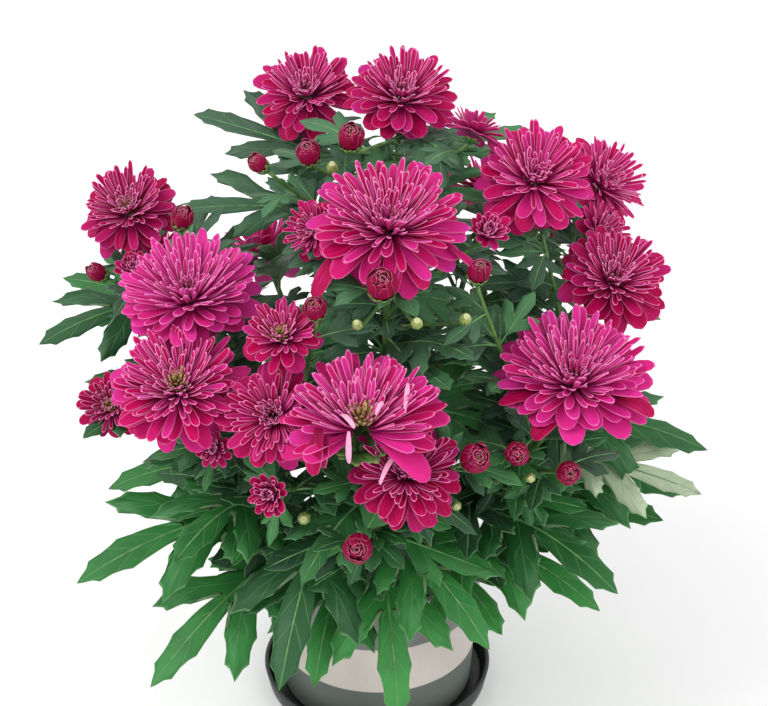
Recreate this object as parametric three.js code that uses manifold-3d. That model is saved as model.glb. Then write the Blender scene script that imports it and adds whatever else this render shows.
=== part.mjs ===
// A florist's chrysanthemum in a banded pot on a saucer, in millimetres, +Z up.
// The origin is on the pot's axis, in the plane that the saucer rests on, and the front faces -Y.
import * as THREE from "three";
import { mergeVertices } from "three/addons/utils/BufferGeometryUtils.js";
import Module from "manifold-3d";

const wasm = await Module();
wasm.setup();

// Driving dimensions of the pot, the saucer and the soil
const ROUND_SEGMENTS = 22;
const SAUCER = { height: 12, rimRadius: 65, footRadius: 62.5, wall: 2.2, floor: 2.5 };
const POT = { top: 92, rimRadius: 60, footRadius: 54.4, wall: 3.6, floor: 4, drainRadius: 6 };
const SOIL = { edge: 74, crown: 77, segments: 12, inset: 0.4, shoulder: 0.6 };
const BEVEL = 1;
const REST_GAP = 0.3;

// Driving dimensions of the plant
const STEM = { radius: 2, sides: 5, steps: 5, depth: 54, lift: 70, reach: 45 };
const STALK = { radius: 1.3, sides: 3, steps: 2, lift: 14, reach: 14 };
const CALYX = { sides: 5, least: 1.8, seat: 0.13, budSeat: 0.3, depth: 1.3 };
const BUD_SIDES = 5;
const LEAF = {
  thickness: 1.3,
  petiole: 2.4,
  petioleEnd: 0.25,
  crest: 0.45,
  fold: [-0.3, 0.25],
  slimmest: 0.58,
  roll: 24,
};
const CLEARANCE = 0.4;
const RIPE_BUD = 22;
const GRIDS = [0.01, 0.008, 0.006, 0.005, 0.004];

// The layers of petals, from the outermost in: how many there are, how far they rise in degrees, and
// their reach and the radius and height of their roots as shares of the bloom's radius
const LAYERS = {
  large: [
    { petals: 12, rise: -2, reach: 0.78, root: [0.22, 0.09] },
    { petals: 11, rise: 18, reach: 0.77, root: [0.22, 0.19] },
    { petals: 9, rise: 40, reach: 0.68, root: [0.18, 0.29] },
    { petals: 7, rise: 62, reach: 0.48, root: [0.12, 0.38] },
  ],
  middling: [
    { petals: 10, rise: 0, reach: 0.78, root: [0.22, 0.1] },
    { petals: 9, rise: 26, reach: 0.74, root: [0.2, 0.21] },
    { petals: 7, rise: 54, reach: 0.56, root: [0.14, 0.32] },
  ],
  small: [
    { petals: 8, rise: 6, reach: 0.78, root: [0.22, 0.14] },
    { petals: 7, rise: 34, reach: 0.68, root: [0.18, 0.3] },
    { petals: 4, rise: 64, reach: 0.5, root: [0.1, 0.44] },
  ],
  opening: [
    { petals: 6, rise: 24, reach: 0.8, root: [0.24, 0.16] },
    { petals: 5, rise: 56, reach: 0.74, root: [0.16, 0.34] },
  ],
};
const SIZES = { large: 68, middling: 48, small: 29, opening: 20 };
const PETAL = {
  shoulder: 0.66,
  tip: 0.5,
  snug: 0.9,
  depth: 0.055,
  leastDepth: 1.2,
  rootInset: 0.92,
  droop: -0.1,
  cup: 0.06,
  riseSpread: 5,
  reachSpread: [0.92, 1.04],
};
const HOLLOW = 0.9;

// Each stem: its name, and where it stands in the soil
const STEMS = [
  { name: "leafy_stem_1", root: [-18, -16] },
  { name: "leafy_stem_2", root: [-28, 4] },
  { name: "leafy_stem_3", root: [4, -31] },
  { name: "leafy_stem_4", root: [-11, -28] },
  { name: "leafy_stem_5", root: [1, -9] },
  { name: "leafy_stem_6", root: [18, -19] },
  { name: "leafy_stem_7", root: [28, -4] },
  { name: "leafy_stem_8", root: [5, 9] },
  { name: "leafy_stem_9", root: [-15, 18] },
  { name: "leafy_stem_10", root: [17, 20] },
];

// Each bloom: the middle of its base, how wide it is, the way it leans (0 is the front, 90 is +X) and
// how far, its stem, and how far up the stem its stalk leaves (1 tops the stem); the one with a bare
// angle has lost the petals that far to each side of its front
const BLOOMS = [
  { base: [-37, 57, 343], across: 58, toward: -10, lean: 24, stem: 8, leaves: 0.66 },
  { base: [13, 29, 355], across: 60, toward: 10, lean: 18, stem: 8, leaves: 1 },
  { base: [6, -77, 335], across: 80, toward: 0, lean: 16, stem: 5, leaves: 1 },
  { base: [-132, 29, 288], across: 56, toward: -20, lean: 28, stem: 2, leaves: 1 },
  { base: [-94, -62, 286], across: 78, toward: -8, lean: 13, stem: 1, leaves: 0.6 },
  { base: [-98, -104, 259], across: 72, toward: -10, lean: 26, stem: 1, leaves: 1 },
  { base: [81, -19, 332], across: 64, toward: 2, lean: 24, stem: 7, leaves: 0.7 },
  { base: [119, 42, 298], across: 54, toward: 60, lean: 46, stem: 7, leaves: 0.62 },
  { base: [122, -36, 283], across: 60, toward: 20, lean: 30, stem: 7, leaves: 1 },
  { base: [117, 12, 284], across: 40, toward: 60, lean: 48, stem: 7, leaves: 0.8 },
  { base: [99, -91, 255], across: 82, toward: 8, lean: 18, stem: 6, leaves: 1 },
  { base: [-7, -140, 259], across: 84, toward: 0, lean: 14, stem: 3, leaves: 1, bare: 44 },
  { base: [-50, -122, 256], across: 54, toward: -12, lean: 46, stem: 4, leaves: 1 },
  { base: [-46, -104, 290], across: 44, toward: -15, lean: 28, stem: 4, leaves: 0.72 },
  { base: [15, -141, 234], across: 60, toward: 6, lean: 32, stem: 3, leaves: 0.62 },
  { base: [-138, -54, 219], across: 38, toward: -15, lean: 50, stem: 1, leaves: 0.48 },
  { base: [-30, -52, 322], across: 34, toward: -40, lean: 50, stem: 5, leaves: 0.78 },
  { base: [55, -62, 326], across: 28, toward: 20, lean: 38, stem: 5, leaves: 0.74 },
  { base: [49, -9, 355], across: 32, toward: 150, lean: 40, stem: 8, leaves: 0.8 },
  { base: [-126, -9, 273], across: 26, toward: -20, lean: 30, stem: 2, leaves: 0.74 },
  { base: [64, 114, 250], across: 62, toward: 150, lean: 42, stem: 10, leaves: 1 },
  { base: [-64, 124, 206], across: 60, toward: -152, lean: 50, stem: 9, leaves: 1 },
  { base: [0, 142, 220], across: 58, toward: 178, lean: 56, stem: 9, leaves: 0.56 },
  { base: [126, 82, 220], across: 50, toward: 122, lean: 56, stem: 10, leaves: 0.58 },
  { base: [-124, 88, 222], across: 52, toward: -128, lean: 56, stem: 9, leaves: 0.6 },
];

// Each magenta bud, in the same terms
const BUDS = [
  { base: [-33, -34, 354], across: 15, toward: -20, lean: 30, stem: 8, leaves: 0.72 },
  { base: [-13, -32, 361], across: 16, toward: 10, lean: 25, stem: 8, leaves: 0.86 },
  { base: [-57, -32, 348], across: 11, toward: -60, lean: 40, stem: 8, leaves: 0.6 },
  { base: [3, -112, 323], across: 19, toward: 0, lean: 34, stem: 5, leaves: 0.86 },
  { base: [50, -94, 320], across: 14, toward: 10, lean: 25, stem: 6, leaves: 0.7 },
  { base: [-51, -140, 223], across: 28, toward: -20, lean: 62, stem: 4, leaves: 0.5 },
  { base: [-9, -150, 198], across: 18, toward: 0, lean: 62, stem: 3, leaves: 0.46 },
  { base: [96, -113, 217], across: 15, toward: 10, lean: 58, stem: 6, leaves: 0.56 },
  { base: [70, -124, 236], across: 15, toward: 0, lean: 60, stem: 6, leaves: 0.62 },
  { base: [-100, -27, 313], across: 14, toward: 20, lean: 24, stem: 1, leaves: 0.56 },
  { base: [-146, 6, 263], across: 12, toward: -60, lean: 46, stem: 2, leaves: 0.68 },
  { base: [-29, -111, 310], across: 14, toward: -10, lean: 36, stem: 4, leaves: 0.78 },
  { base: [47, -137, 241], across: 18, toward: 20, lean: 52, stem: 3, leaves: 0.54 },
  { base: [-80, -120, 237], across: 24, toward: -10, lean: 62, stem: 1, leaves: 0.66 },
  { base: [10, 108, 268], across: 16, toward: 178, lean: 34, stem: 10, leaves: 0.7 },
  { base: [98, 116, 222], across: 16, toward: 140, lean: 46, stem: 10, leaves: 0.66 },
];

// The tight green buds on their stem's node, in the same terms
const GREEN_BUDS = [
  { base: [-22, -40, 352], across: 8, toward: 0, lean: 30, stem: 8, leaves: 0.7 },
  { base: [20, -118, 308], across: 8, toward: 0, lean: 40, stem: 5, leaves: 0.8 },
  { base: [44, -104, 302], across: 8, toward: 10, lean: 40, stem: 5, leaves: 0.7 },
  { base: [-9, -116, 306], across: 7, toward: -10, lean: 40, stem: 5, leaves: 0.78 },
  { base: [77, -128, 224], across: 7, toward: 0, lean: 60, stem: 6, leaves: 0.5 },
  { base: [40, -138, 214], across: 7, toward: 0, lean: 60, stem: 3, leaves: 0.5 },
  { base: [-36, -136, 205], across: 9, toward: 0, lean: 60, stem: 4, leaves: 0.4 },
];

// The large leaves: the stem, how far up it the leaf leaves, the leaf's tip, its width, and how far its
// back arches over the straight line to the tip
const LARGE_LEAVES = [
  { stem: 1, leaves: 0.46, tip: [-102, -136, 178], width: 62, arch: 26 },
  { stem: 1, leaves: 0.38, tip: [-156, -108, 144], width: 72, arch: 30 },
  { stem: 1, leaves: 0.26, tip: [-119, -124, 88], width: 65, arch: 34 },
  { stem: 4, leaves: 0.42, tip: [-50, -152, 108], width: 72, arch: 34 },
  { stem: 4, leaves: 0.36, tip: [-79, -114, 202], width: 50, arch: 16 },
  { stem: 4, leaves: 0.22, tip: [-33, -124, 88], width: 58, arch: 30 },
  { stem: 3, leaves: 0.3, tip: [12, -134, 72], width: 68, arch: 36 },
  { stem: 3, leaves: 0.42, tip: [58, -146, 130], width: 65, arch: 28 },
  { stem: 6, leaves: 0.2, tip: [66, -110, 112], width: 58, arch: 24 },
  { stem: 6, leaves: 0.42, tip: [124, -128, 152], width: 70, arch: 26 },
  { stem: 6, leaves: 0.3, tip: [118, -100, 120], width: 62, arch: 26 },
  { stem: 6, leaves: 0.44, tip: [46, -134, 178], width: 55, arch: 20 },
  { stem: 7, leaves: 0.36, tip: [169, -38, 152], width: 58, arch: 24 },
  { stem: 7, leaves: 0.52, tip: [177, -40, 182], width: 62, arch: 22 },
  { stem: 7, leaves: 0.42, tip: [172, -64, 170], width: 48, arch: 20 },
  { stem: 7, leaves: 0.28, tip: [154, -54, 146], width: 60, arch: 22 },
  { stem: 2, leaves: 0.7, tip: [-179, -20, 236], width: 55, arch: 16 },
  { stem: 2, leaves: 0.56, tip: [-156, -42, 200], width: 42, arch: 20 },
  { stem: 2, leaves: 0.62, tip: [-173, 47, 238], width: 48, arch: 16 },
  { stem: 8, leaves: 0.78, tip: [-98, 56, 334], width: 50, arch: 6 },
  { stem: 8, leaves: 0.7, tip: [-102, -6, 310], width: 50, arch: 12 },
  { stem: 8, leaves: 0.8, tip: [82, 46, 330], width: 35, arch: 12 },
  { stem: 8, leaves: 0.74, tip: [58, -9, 316], width: 38, arch: 12 },
  { stem: 8, leaves: 0.9, tip: [44, -16, 338], width: 40, arch: 12 },
  { stem: 5, leaves: 0.6, tip: [36, -128, 276], width: 48, arch: 16 },
  { stem: 5, leaves: 0.66, tip: [48, -119, 288], width: 42, arch: 16 },
  { stem: 6, leaves: 0.64, tip: [62, -124, 226], width: 42, arch: 14 },
  { stem: 2, leaves: 0.3, tip: [-150, 2, 128], width: 65, arch: 28 },
  { stem: 9, leaves: 0.3, tip: [-112, 96, 122], width: 68, arch: 28 },
  { stem: 9, leaves: 0.24, tip: [-34, 138, 104], width: 68, arch: 30 },
  { stem: 10, leaves: 0.24, tip: [42, 140, 106], width: 68, arch: 30 },
  { stem: 10, leaves: 0.3, tip: [124, 92, 118], width: 68, arch: 28 },
  { stem: 7, leaves: 0.24, tip: [152, 14, 126], width: 62, arch: 26 },
];

// The leaves higher up follow a rule: this many on each stem, from the lowest share of its height; each
// turns aside from the way outward, and its tip lies a little over or under its root
const RULED_LEAVES = {
  perStem: 4,
  lowest: 0.38,
  spacing: 0.14,
  aside: 70,
  asideSpread: 50,
  length: 78,
  lengthSpread: [0.85, 1.15],
  shorter: 0.7,
  tipHeights: [4, -22],
  widthShare: 0.6,
  arch: 16,
};

// How a petal, as its reach and rise, or a leaf, as its size, turn and drop, may be bent to come clear
const PETAL_REACHES = [1, 0.88, 0.76, 0.64, 0.5, 0.36, 0.22];
const PETAL_RISES = [0, 7, -7];
const LEAF_SIZES = [1, 0.86, 0.72, 0.58];
const LEAF_DROPS = [0, -12, 12, -24, 24];
const LEAF_TURNS = [0, 12, -12, 24, -24];

const UP = new THREE.Vector3(0, 0, 1);
const rad = THREE.MathUtils.degToRad;
const lerp = THREE.MathUtils.lerp;
const vec = (v) => new THREE.Vector3(...v);

// A repeatable draw from 0 to 1 for piece k's value n
function draw(k, n) {
  const value = Math.sin(k * 12.9898 + n * 78.233) * 43758.5453;
  return value - Math.floor(value);
}

// A closed geometry as a solid, its faces turned out
function solidOf(geometry) {
  const bare = geometry.clone();
  bare.deleteAttribute("normal");
  bare.deleteAttribute("uv");
  const merged = mergeVertices(bare, 1e-4);
  const triVerts = new Uint32Array(merged.index.array);
  const vertProperties = merged.attributes.position.array;
  return new wasm.Manifold(new wasm.Mesh({ numProp: 3, vertProperties, triVerts }));
}

// Whether every edge of a mesh belongs to two faces that run along it in opposite ways
function edgesPair(corners) {
  const edges = new Set();
  for (let i = 0; i < corners.length; i += 3) {
    for (let k = 0; k < 3; k += 1) {
      const edge = corners[i + k] + ">" + corners[i + ((k + 1) % 3)];
      if (edges.has(edge)) return false;
      edges.add(edge);
    }
  }
  return [...edges].every((edge) => edges.has(edge.split(">").reverse().join(">")));
}

// A solid's mesh with its corners on the first of the grids that leaves every edge paired
function geometryOf(solid) {
  const { vertProperties, triVerts } = solid.getMesh();
  for (const grid of GRIDS) {
    const onGrid = vertProperties.map((value) => Math.round(value / grid) * grid);
    const loose = new THREE.BufferGeometry();
    loose.setAttribute("position", new THREE.BufferAttribute(onGrid, 3));
    loose.setIndex(new THREE.BufferAttribute(triVerts, 1));
    const merged = mergeVertices(loose, grid / 10);
    const corners = merged.index.array;
    const kept = [];
    for (let i = 0; i < corners.length; i += 3) {
      const [a, b, c] = corners.slice(i, i + 3);
      if (a !== b && b !== c && c !== a) kept.push(a, b, c);
    }
    merged.setIndex(kept);
    if (edgesPair(kept)) return merged;
  }
  throw new Error("a solid's edges don't pair on any grid");
}

// A round body from a profile of [radius, height] points
function turned(profile, segments) {
  const points = profile.map(([r, z]) => new THREE.Vector2(r, z));
  return new THREE.LatheGeometry(points, segments).rotateX(Math.PI / 2);
}

// A stem of one radius along a curve
function rod(curve, radius, sides, steps) {
  const section = new THREE.Shape();
  for (let i = 0; i < sides; i += 1) {
    const angle = (2 * Math.PI * i) / sides;
    const [x, y] = [radius * Math.cos(angle), radius * Math.sin(angle)];
    if (i === 0) section.moveTo(x, y);
    else section.lineTo(x, y);
  }
  return new THREE.ExtrudeGeometry(section, { steps, extrudePath: curve });
}

// The way a bloom or bud faces
function facingOf({ toward, lean }) {
  const [sideways, tilt] = [rad(toward), rad(lean)];
  return new THREE.Vector3(
    Math.sin(sideways) * Math.sin(tilt),
    -Math.cos(sideways) * Math.sin(tilt),
    Math.cos(tilt),
  );
}

// The frame whose Z is the facing and whose origin is the base
function frameOf(flower) {
  const z = facingOf(flower);
  const x = new THREE.Vector3(0, 0, 1).cross(z).normalize();
  const y = z.clone().cross(x);
  return new THREE.Matrix4().makeBasis(x, y, z).setPosition(...flower.base);
}

// The petal layers of a flower of this size
function layersOf({ across }) {
  const size = Object.keys(SIZES).find((name) => across >= SIZES[name]);
  return LAYERS[size];
}

// How far petal i of a layer has turned round its bloom's axis
function turnOf(layer, k, i) {
  return (2 * Math.PI * i) / layer.petals + k;
}

// The corners of petal i of a layer, in its bloom's own frame: the gaps to its neighbours, its
// shoulders and tip, and its root underneath. It is a flat blade, thickest at the root
function petalCorners(flower, layerIndex, i, way, grow = 0, lift = 0) {
  const layer = layersOf(flower)[layerIndex];
  const radius = flower.across / 2;
  const seed = flower.index * 97 + layerIndex * 23 + i;
  const pitch = Math.PI / layer.petals;
  const turn = turnOf(layer, layerIndex, i);
  const rise = rad(layer.rise + way.raise + PETAL.riseSpread * (draw(seed, 1) - 0.5));
  const reach = layer.reach * radius * way.shorten * lerp(...PETAL.reachSpread, draw(seed, 2)) + grow;
  const [rootRadius, rootHeight] = layer.root.map((share) => share * radius);
  const depth = Math.max(PETAL.depth * radius, PETAL.leastDepth);
  const bend = (layerIndex === 0 ? PETAL.droop : PETAL.cup) * reach;
  const place = (along, side) => {
    const outward = rootRadius + along * reach * Math.cos(rise);
    const height = rootHeight + along * reach * Math.sin(rise) + bend * along * along;
    const wedge = outward * Math.tan(pitch) * PETAL.snug;
    const aside = side * (wedge + grow);
    return new THREE.Vector3(outward, aside, height + lift).applyAxisAngle(UP, turn);
  };
  const gap = (side) =>
    new THREE.Vector3(rootRadius, 0, rootHeight + lift).applyAxisAngle(UP, turn + side * pitch);
  const root = new THREE.Vector3(rootRadius * PETAL.rootInset, 0, rootHeight - depth + lift);
  return {
    gaps: [gap(-1), gap(1)],
    shoulders: [place(PETAL.shoulder, -1), place(PETAL.shoulder, 1)],
    tips: [place(1, -PETAL.tip * PETAL.shoulder), place(1, PETAL.tip * PETAL.shoulder)],
    root: root.applyAxisAngle(UP, turn),
  };
}

// A mesh made corner by corner: add returns the corner's number, and face takes such numbers
function meshMaker() {
  const [points, index] = [[], []];
  return {
    add: (point) => points.push(point.toArray()) - 1,
    face: (...corners) => index.push(...corners),
    made: () => {
      const geometry = new THREE.BufferGeometry();
      geometry.setAttribute("position", new THREE.Float32BufferAttribute(points.flat(), 3));
      geometry.setIndex(index);
      return geometry;
    },
  };
}

// A petal's top and underside between its corner numbers
function petalFaces(mesh, [left, right], [low, high], [first, second], root) {
  mesh.face(left, low, high, left, high, right, low, first, second, low, second, high);
  const rim = [left, low, first, second, high, right];
  for (let i = 1; i < rim.length; i += 1) mesh.face(root, rim[i], rim[i - 1]);
}

// One petal by itself, widened and lifted, to see what it would cross
function petalSolid(flower, layerIndex, i, way, lift) {
  const corners = petalCorners(flower, layerIndex, i, way, CLEARANCE, lift);
  const { gaps, shoulders, tips, root } = corners;
  const mesh = meshMaker();
  const [left, right] = gaps.map(mesh.add);
  const low = mesh.add(root);
  petalFaces(mesh, [left, right], shoulders.map(mesh.add), tips.map(mesh.add), low);
  mesh.face(left, right, low);
  return solidOf(mesh.made().applyMatrix4(frameOf(flower)));
}

// The wall between a lower and an upper ring of corners, each as [turn, corner number]
function joinRings(mesh, lower, upper) {
  const full = 2 * Math.PI;
  const at = (ring, i) => ring[i % ring.length][0] + full * Math.floor(i / ring.length);
  const corner = (ring, i) => ring[i % ring.length][1];
  let [i, j] = [0, 0];
  while (i < lower.length || j < upper.length) {
    const lowerNext = i < lower.length ? at(lower, i + 1) : Infinity;
    const upperNext = j < upper.length ? at(upper, j + 1) : Infinity;
    if (lowerNext < upperNext) {
      mesh.face(corner(lower, i), corner(lower, i + 1), corner(upper, j));
      i += 1;
    } else {
      mesh.face(corner(lower, i), corner(upper, j + 1), corner(upper, j));
      j += 1;
    }
  }
}

// A ring of corners in the order of their turn round the bloom's axis, from the first past zero
function ringOf(entries) {
  const full = 2 * Math.PI;
  return entries
    .map(([turn, corner]) => [THREE.MathUtils.euclideanModulo(turn, full), corner])
    .sort((a, b) => a[0] - b[0]);
}

// Calls back with each corner of a ring and the next
function closeRing(ring, between) {
  ring.forEach(([, corner], i) => between(corner, ring[(i + 1) % ring.length][1]));
}

// A whole bloom is one closed mesh: layer on layer of petals, with a wall between each two
function bloomOf(flower, ways) {
  const mesh = meshMaker();
  const layers = layersOf(flower);
  const foot = mesh.add(new THREE.Vector3());
  let below = null;
  layers.forEach((layer, k) => {
    const pitch = Math.PI / layer.petals;
    const corners = ways[k].map((way, i) => petalCorners(flower, k, i, way));
    const gaps = corners.map(({ gaps: [left] }) => mesh.add(left));
    const roots = corners.map(({ root }) => mesh.add(root));
    corners.forEach(({ shoulders, tips }, i) => {
      const sides = [gaps[i], gaps[(i + 1) % gaps.length]];
      petalFaces(mesh, sides, shoulders.map(mesh.add), tips.map(mesh.add), roots[i]);
    });
    const gapTurns = gaps.map((corner, i) => [turnOf(layer, k, i) - pitch, corner]);
    const rootTurns = roots.map((corner, i) => [turnOf(layer, k, i), corner]);
    const underside = ringOf([...gapTurns, ...rootTurns]);
    if (below) joinRings(mesh, below, underside);
    else closeRing(underside, (corner, next) => mesh.face(foot, next, corner));
    below = ringOf(gapTurns);
  });
  const eyeHeight = (layers.at(-1).root[1] * HOLLOW * flower.across) / 2;
  const eye = mesh.add(new THREE.Vector3(0, 0, eyeHeight));
  closeRing(below, (corner, next) => mesh.face(corner, next, eye));
  return solidOf(mesh.made().applyMatrix4(frameOf(flower)));
}

// What stands for a bloom until its petals are bent clear: the round that their shortest stubs fill
function heartOf(flower) {
  const radius = flower.across / 2;
  const top = (layersOf(flower).at(-1).root[1] + 0.08) * radius;
  const profile = [
    [0, 0],
    [radius * 0.2, 0],
    [radius * 0.34, top * 0.25],
    [radius * 0.28, top * 0.8],
    [radius * 0.14, top],
    [0, top],
  ];
  return solidOf(turned(profile, ROUND_SEGMENTS).applyMatrix4(frameOf(flower)));
}

// A closed bud
function budOf(flower, grow = 0) {
  const radius = flower.across / 2 + grow;
  const height = flower.across * 0.95;
  const profile = [
    [0, -grow],
    [radius * 0.55, -grow],
    [radius, height * 0.4],
    [radius * 0.72, height * 0.85 + grow],
    [0, height + grow],
  ];
  return solidOf(turned(profile, BUD_SIDES).applyMatrix4(frameOf(flower)));
}

function calyxRadius({ across }) {
  return Math.max(across * (across > RIPE_BUD ? CALYX.seat : CALYX.budSeat), CALYX.least);
}

// The green cup under a bloom or bud
function calyxOf(flower) {
  const radius = calyxRadius(flower);
  const profile = [
    [0, -radius * CALYX.depth],
    [radius, -REST_GAP],
    [0, -REST_GAP],
  ];
  return solidOf(turned(profile, CALYX.sides).applyMatrix4(frameOf(flower)));
}

// A small tight bud, one with its stalk
function greenBudOf(flower) {
  const radius = flower.across / 2;
  const profile = [
    [0, -radius],
    [radius, 0],
    [radius * 0.6, radius * 0.9],
    [0, radius],
  ];
  return solidOf(turned(profile, BUD_SIDES).applyMatrix4(frameOf(flower)));
}

// The half outline of a leaf blade: [along, across, rib station it fans from]; along runs from the stem
// to the tip, and across is a share of the half width
const LARGE_RIBS = [0.2, 0.31, 0.46, 0.8];
const LARGE_OUTLINE = [
  [0.2, 0.05, 0],
  [0.25, 0.58, 1],
  [0.41, 0.9, 1],
  [0.38, 0.38, 1],
  [0.57, 0.9, 2],
  [0.77, 1, 2],
  [0.71, 0.6, 2],
  [0.54, 0.18, 2],
  [0.8, 0.31, 3],
  [0.93, 0.22, 3],
];
const SMALL_RIBS = [0.28, 0.46];
const SMALL_OUTLINE = [
  [0.18, 0.05, 0],
  [0.25, 0.58, 0],
  [0.41, 0.9, 0],
  [0.38, 0.38, 0],
  [0.72, 1, 1],
  [0.54, 0.18, 1],
  [0.84, 0.3, 1],
];

// The leaf's spine: from the stem, out over its arch and down to its tip
function spineOf(leaf, root) {
  const tip = vec(leaf.tip);
  const crest = root.clone().lerp(tip, LEAF.crest).addScaledVector(UP, leaf.arch);
  return new THREE.QuadraticBezierCurve3(root, crest, tip);
}

// A leaf is one arched blade, thickest along its midrib, with both faces split alike. Where it is slim
// for its length, it has a longer petiole instead
function leafOf(leaf, root, leafIndex, grow = 0) {
  const spine = spineOf(leaf, root);
  const heading = vec(leaf.tip).sub(root).setZ(0).normalize();
  const roll = rad(LEAF.roll) * heading.x;
  const across = new THREE.Vector3(-heading.y, heading.x, 0).applyAxisAngle(heading, roll);
  const half = leaf.width / 2;
  const share = Math.min(1, leaf.width / (LEAF.slimmest * vec(leaf.tip).distanceTo(root)));
  const [outline, stations] = leaf.ruled ? [SMALL_OUTLINE, SMALL_RIBS] : [LARGE_OUTLINE, LARGE_RIBS];
  const fold = lerp(LEAF.fold[1], LEAF.fold[0], draw(leafIndex, 4));
  const points = [];
  const place = (station, side, lift) => {
    const along = station && 1 - (1 - station) * share;
    const way = spine.getTangent(along);
    const up = way.clone().cross(across).negate();
    const wave = Math.abs(side) * fold * half;
    const point = spine.getPoint(along).addScaledVector(across, side * (half + grow));
    points.push(point.addScaledVector(up, lift + wave).toArray());
    return points.length - 1;
  };
  const thick = (along) => (along < LEAF.petioleEnd ? LEAF.petiole : LEAF.thickness) / 2 + grow;
  const start = place(0, 0, 0);
  const tip = place(1, 0, 0);
  const ribs = [1, -1].map((face) => stations.map((u) => place(u, 0, face * thick(u))));
  const index = [];
  for (const side of [1, -1]) {
    const rim = outline.map(([u, v]) => place(u, side * v, 0));
    ribs.forEach((rib, lower) => {
      const add = (a, b, c) => index.push(...(side === (lower ? -1 : 1) ? [a, b, c] : [a, c, b]));
      add(start, rim[0], rib[0]);
      for (let i = 1; i < rim.length; i += 1) {
        const [before, now] = [outline[i - 1][2], outline[i][2]];
        if (now !== before) add(rib[before], rim[i - 1], rib[now]);
        add(rib[now], rim[i - 1], rim[i]);
      }
      add(rib[rib.length - 1], rim[rim.length - 1], tip);
    });
  }
  const geometry = new THREE.BufferGeometry();
  geometry.setAttribute("position", new THREE.Float32BufferAttribute(points.flat(), 3));
  geometry.setIndex(index);
  return solidOf(geometry);
}

// What stands in the part so far, node by node: solids are kept with the boxes round them
const built = new Map();

function keep(name, solid) {
  const part = { solid, box: solid.boundingBox() };
  if (!built.has(name)) built.set(name, []);
  built.get(name).push(part);
  return part;
}

function boxesMeet(a, b) {
  return [0, 1, 2].every((axis) => a.min[axis] < b.max[axis] && b.min[axis] < a.max[axis]);
}

// Whether a solid crosses any node but its own, or any of the pieces apart
function crosses(name, solid, apart = []) {
  const box = solid.boundingBox();
  for (const [other, parts] of [...built, ["", apart]]) {
    if (other === name) continue;
    for (const part of parts) {
      if (boxesMeet(box, part.box) && !part.solid.intersect(solid).isEmpty()) return true;
    }
  }
  return false;
}

// A node's pieces as one body, without any loose scrap
function fused(name) {
  const whole = built.get(name).map((part) => part.solid).reduce((sum, solid) => sum.add(solid));
  const bodies = whole.decompose();
  return bodies.reduce((best, body) => (body.volume() > best.volume() ? body : best));
}

// The pot, its saucer and the soil
function saucerSolid() {
  const { height, rimRadius, footRadius, wall, floor } = SAUCER;
  const profile = [
    [0, 0],
    [footRadius, 0],
    [rimRadius, height - BEVEL],
    [rimRadius - BEVEL / 2, height],
    [rimRadius - wall, height],
    [footRadius - wall, floor],
    [0, floor],
  ];
  return solidOf(turned(profile, ROUND_SEGMENTS));
}

function potSolid() {
  const { top, rimRadius, footRadius, wall, floor, drainRadius } = POT;
  const bottom = SAUCER.floor + REST_GAP;
  const profile = [
    [drainRadius, bottom],
    [footRadius - BEVEL, bottom],
    [footRadius, bottom + BEVEL],
    [rimRadius, top - BEVEL],
    [rimRadius - BEVEL, top],
    [rimRadius - wall + BEVEL, top],
    [rimRadius - wall, top - BEVEL],
    [footRadius - wall, bottom + floor],
    [drainRadius, bottom + floor],
    [drainRadius, bottom],
  ];
  return solidOf(turned(profile, ROUND_SEGMENTS));
}

function soilSolid() {
  const bottom = SAUCER.floor + REST_GAP + POT.floor + SOIL.inset;
  const slope = (POT.rimRadius - POT.footRadius) / (POT.top - SAUCER.floor);
  const inside = (z) => POT.footRadius - POT.wall - 2 * SOIL.inset + slope * (z - bottom);
  const profile = [
    [0, bottom],
    [inside(bottom), bottom],
    [inside(SOIL.edge), SOIL.edge],
    [inside(SOIL.edge) * SOIL.shoulder, SOIL.crown - BEVEL],
    [0, SOIL.crown],
  ];
  return solidOf(turned(profile, SOIL.segments));
}

// Where a stalk ends: at the middle of its flower's calyx
function stalkEnd(flower) {
  return vec(flower.base).addScaledVector(facingOf(flower), -REST_GAP - calyxRadius(flower) * 0.7);
}

// A stem rises straight from the soil and leans out to the flower that tops it
function stemCurve(stem, flower) {
  const start = new THREE.Vector3(...stem.root, STEM.depth);
  const rise = start.clone().setZ(STEM.depth + STEM.lift);
  const end = stalkEnd(flower);
  const back = end.clone().addScaledVector(facingOf(flower), -STEM.reach);
  return new THREE.CubicBezierCurve3(start, rise, back, end);
}

// A stalk leaves its stem along the stem and comes up under its flower
function stalkCurve(stem, flower) {
  const start = stem.curve.getPoint(flower.leaves);
  const out = start.clone().addScaledVector(stem.curve.getTangent(flower.leaves), STALK.lift);
  const end = stalkEnd(flower);
  const back = end.clone().addScaledVector(facingOf(flower), -STALK.reach);
  return new THREE.CubicBezierCurve3(start, out, back, end);
}

const flowerNodes = [
  ...BLOOMS.map((flower, i) => ({ ...flower, name: "bloom_" + (i + 1) })),
  ...BUDS.map((flower, i) => ({ ...flower, name: "bud_" + (i + 1) })),
].map((flower, i) => ({ ...flower, index: i, open: flower.across > RIPE_BUD }));

// The pot, the saucer, the flowers' middles and the buds first, since they stay where they are
keep("saucer", saucerSolid());
keep("pot", potSolid());
for (const flower of flowerNodes) keep(flower.name, flower.open ? heartOf(flower) : budOf(flower));

// Main stems, each up to the flower that tops it
for (const [i, stem] of STEMS.entries()) {
  const top = flowerNodes.find((flower) => flower.stem === i + 1 && flower.leaves === 1);
  stem.curve = stemCurve(stem, top);
  keep(stem.name, solidOf(rod(stem.curve, STEM.radius, STEM.sides, STEM.steps)));
}

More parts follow.
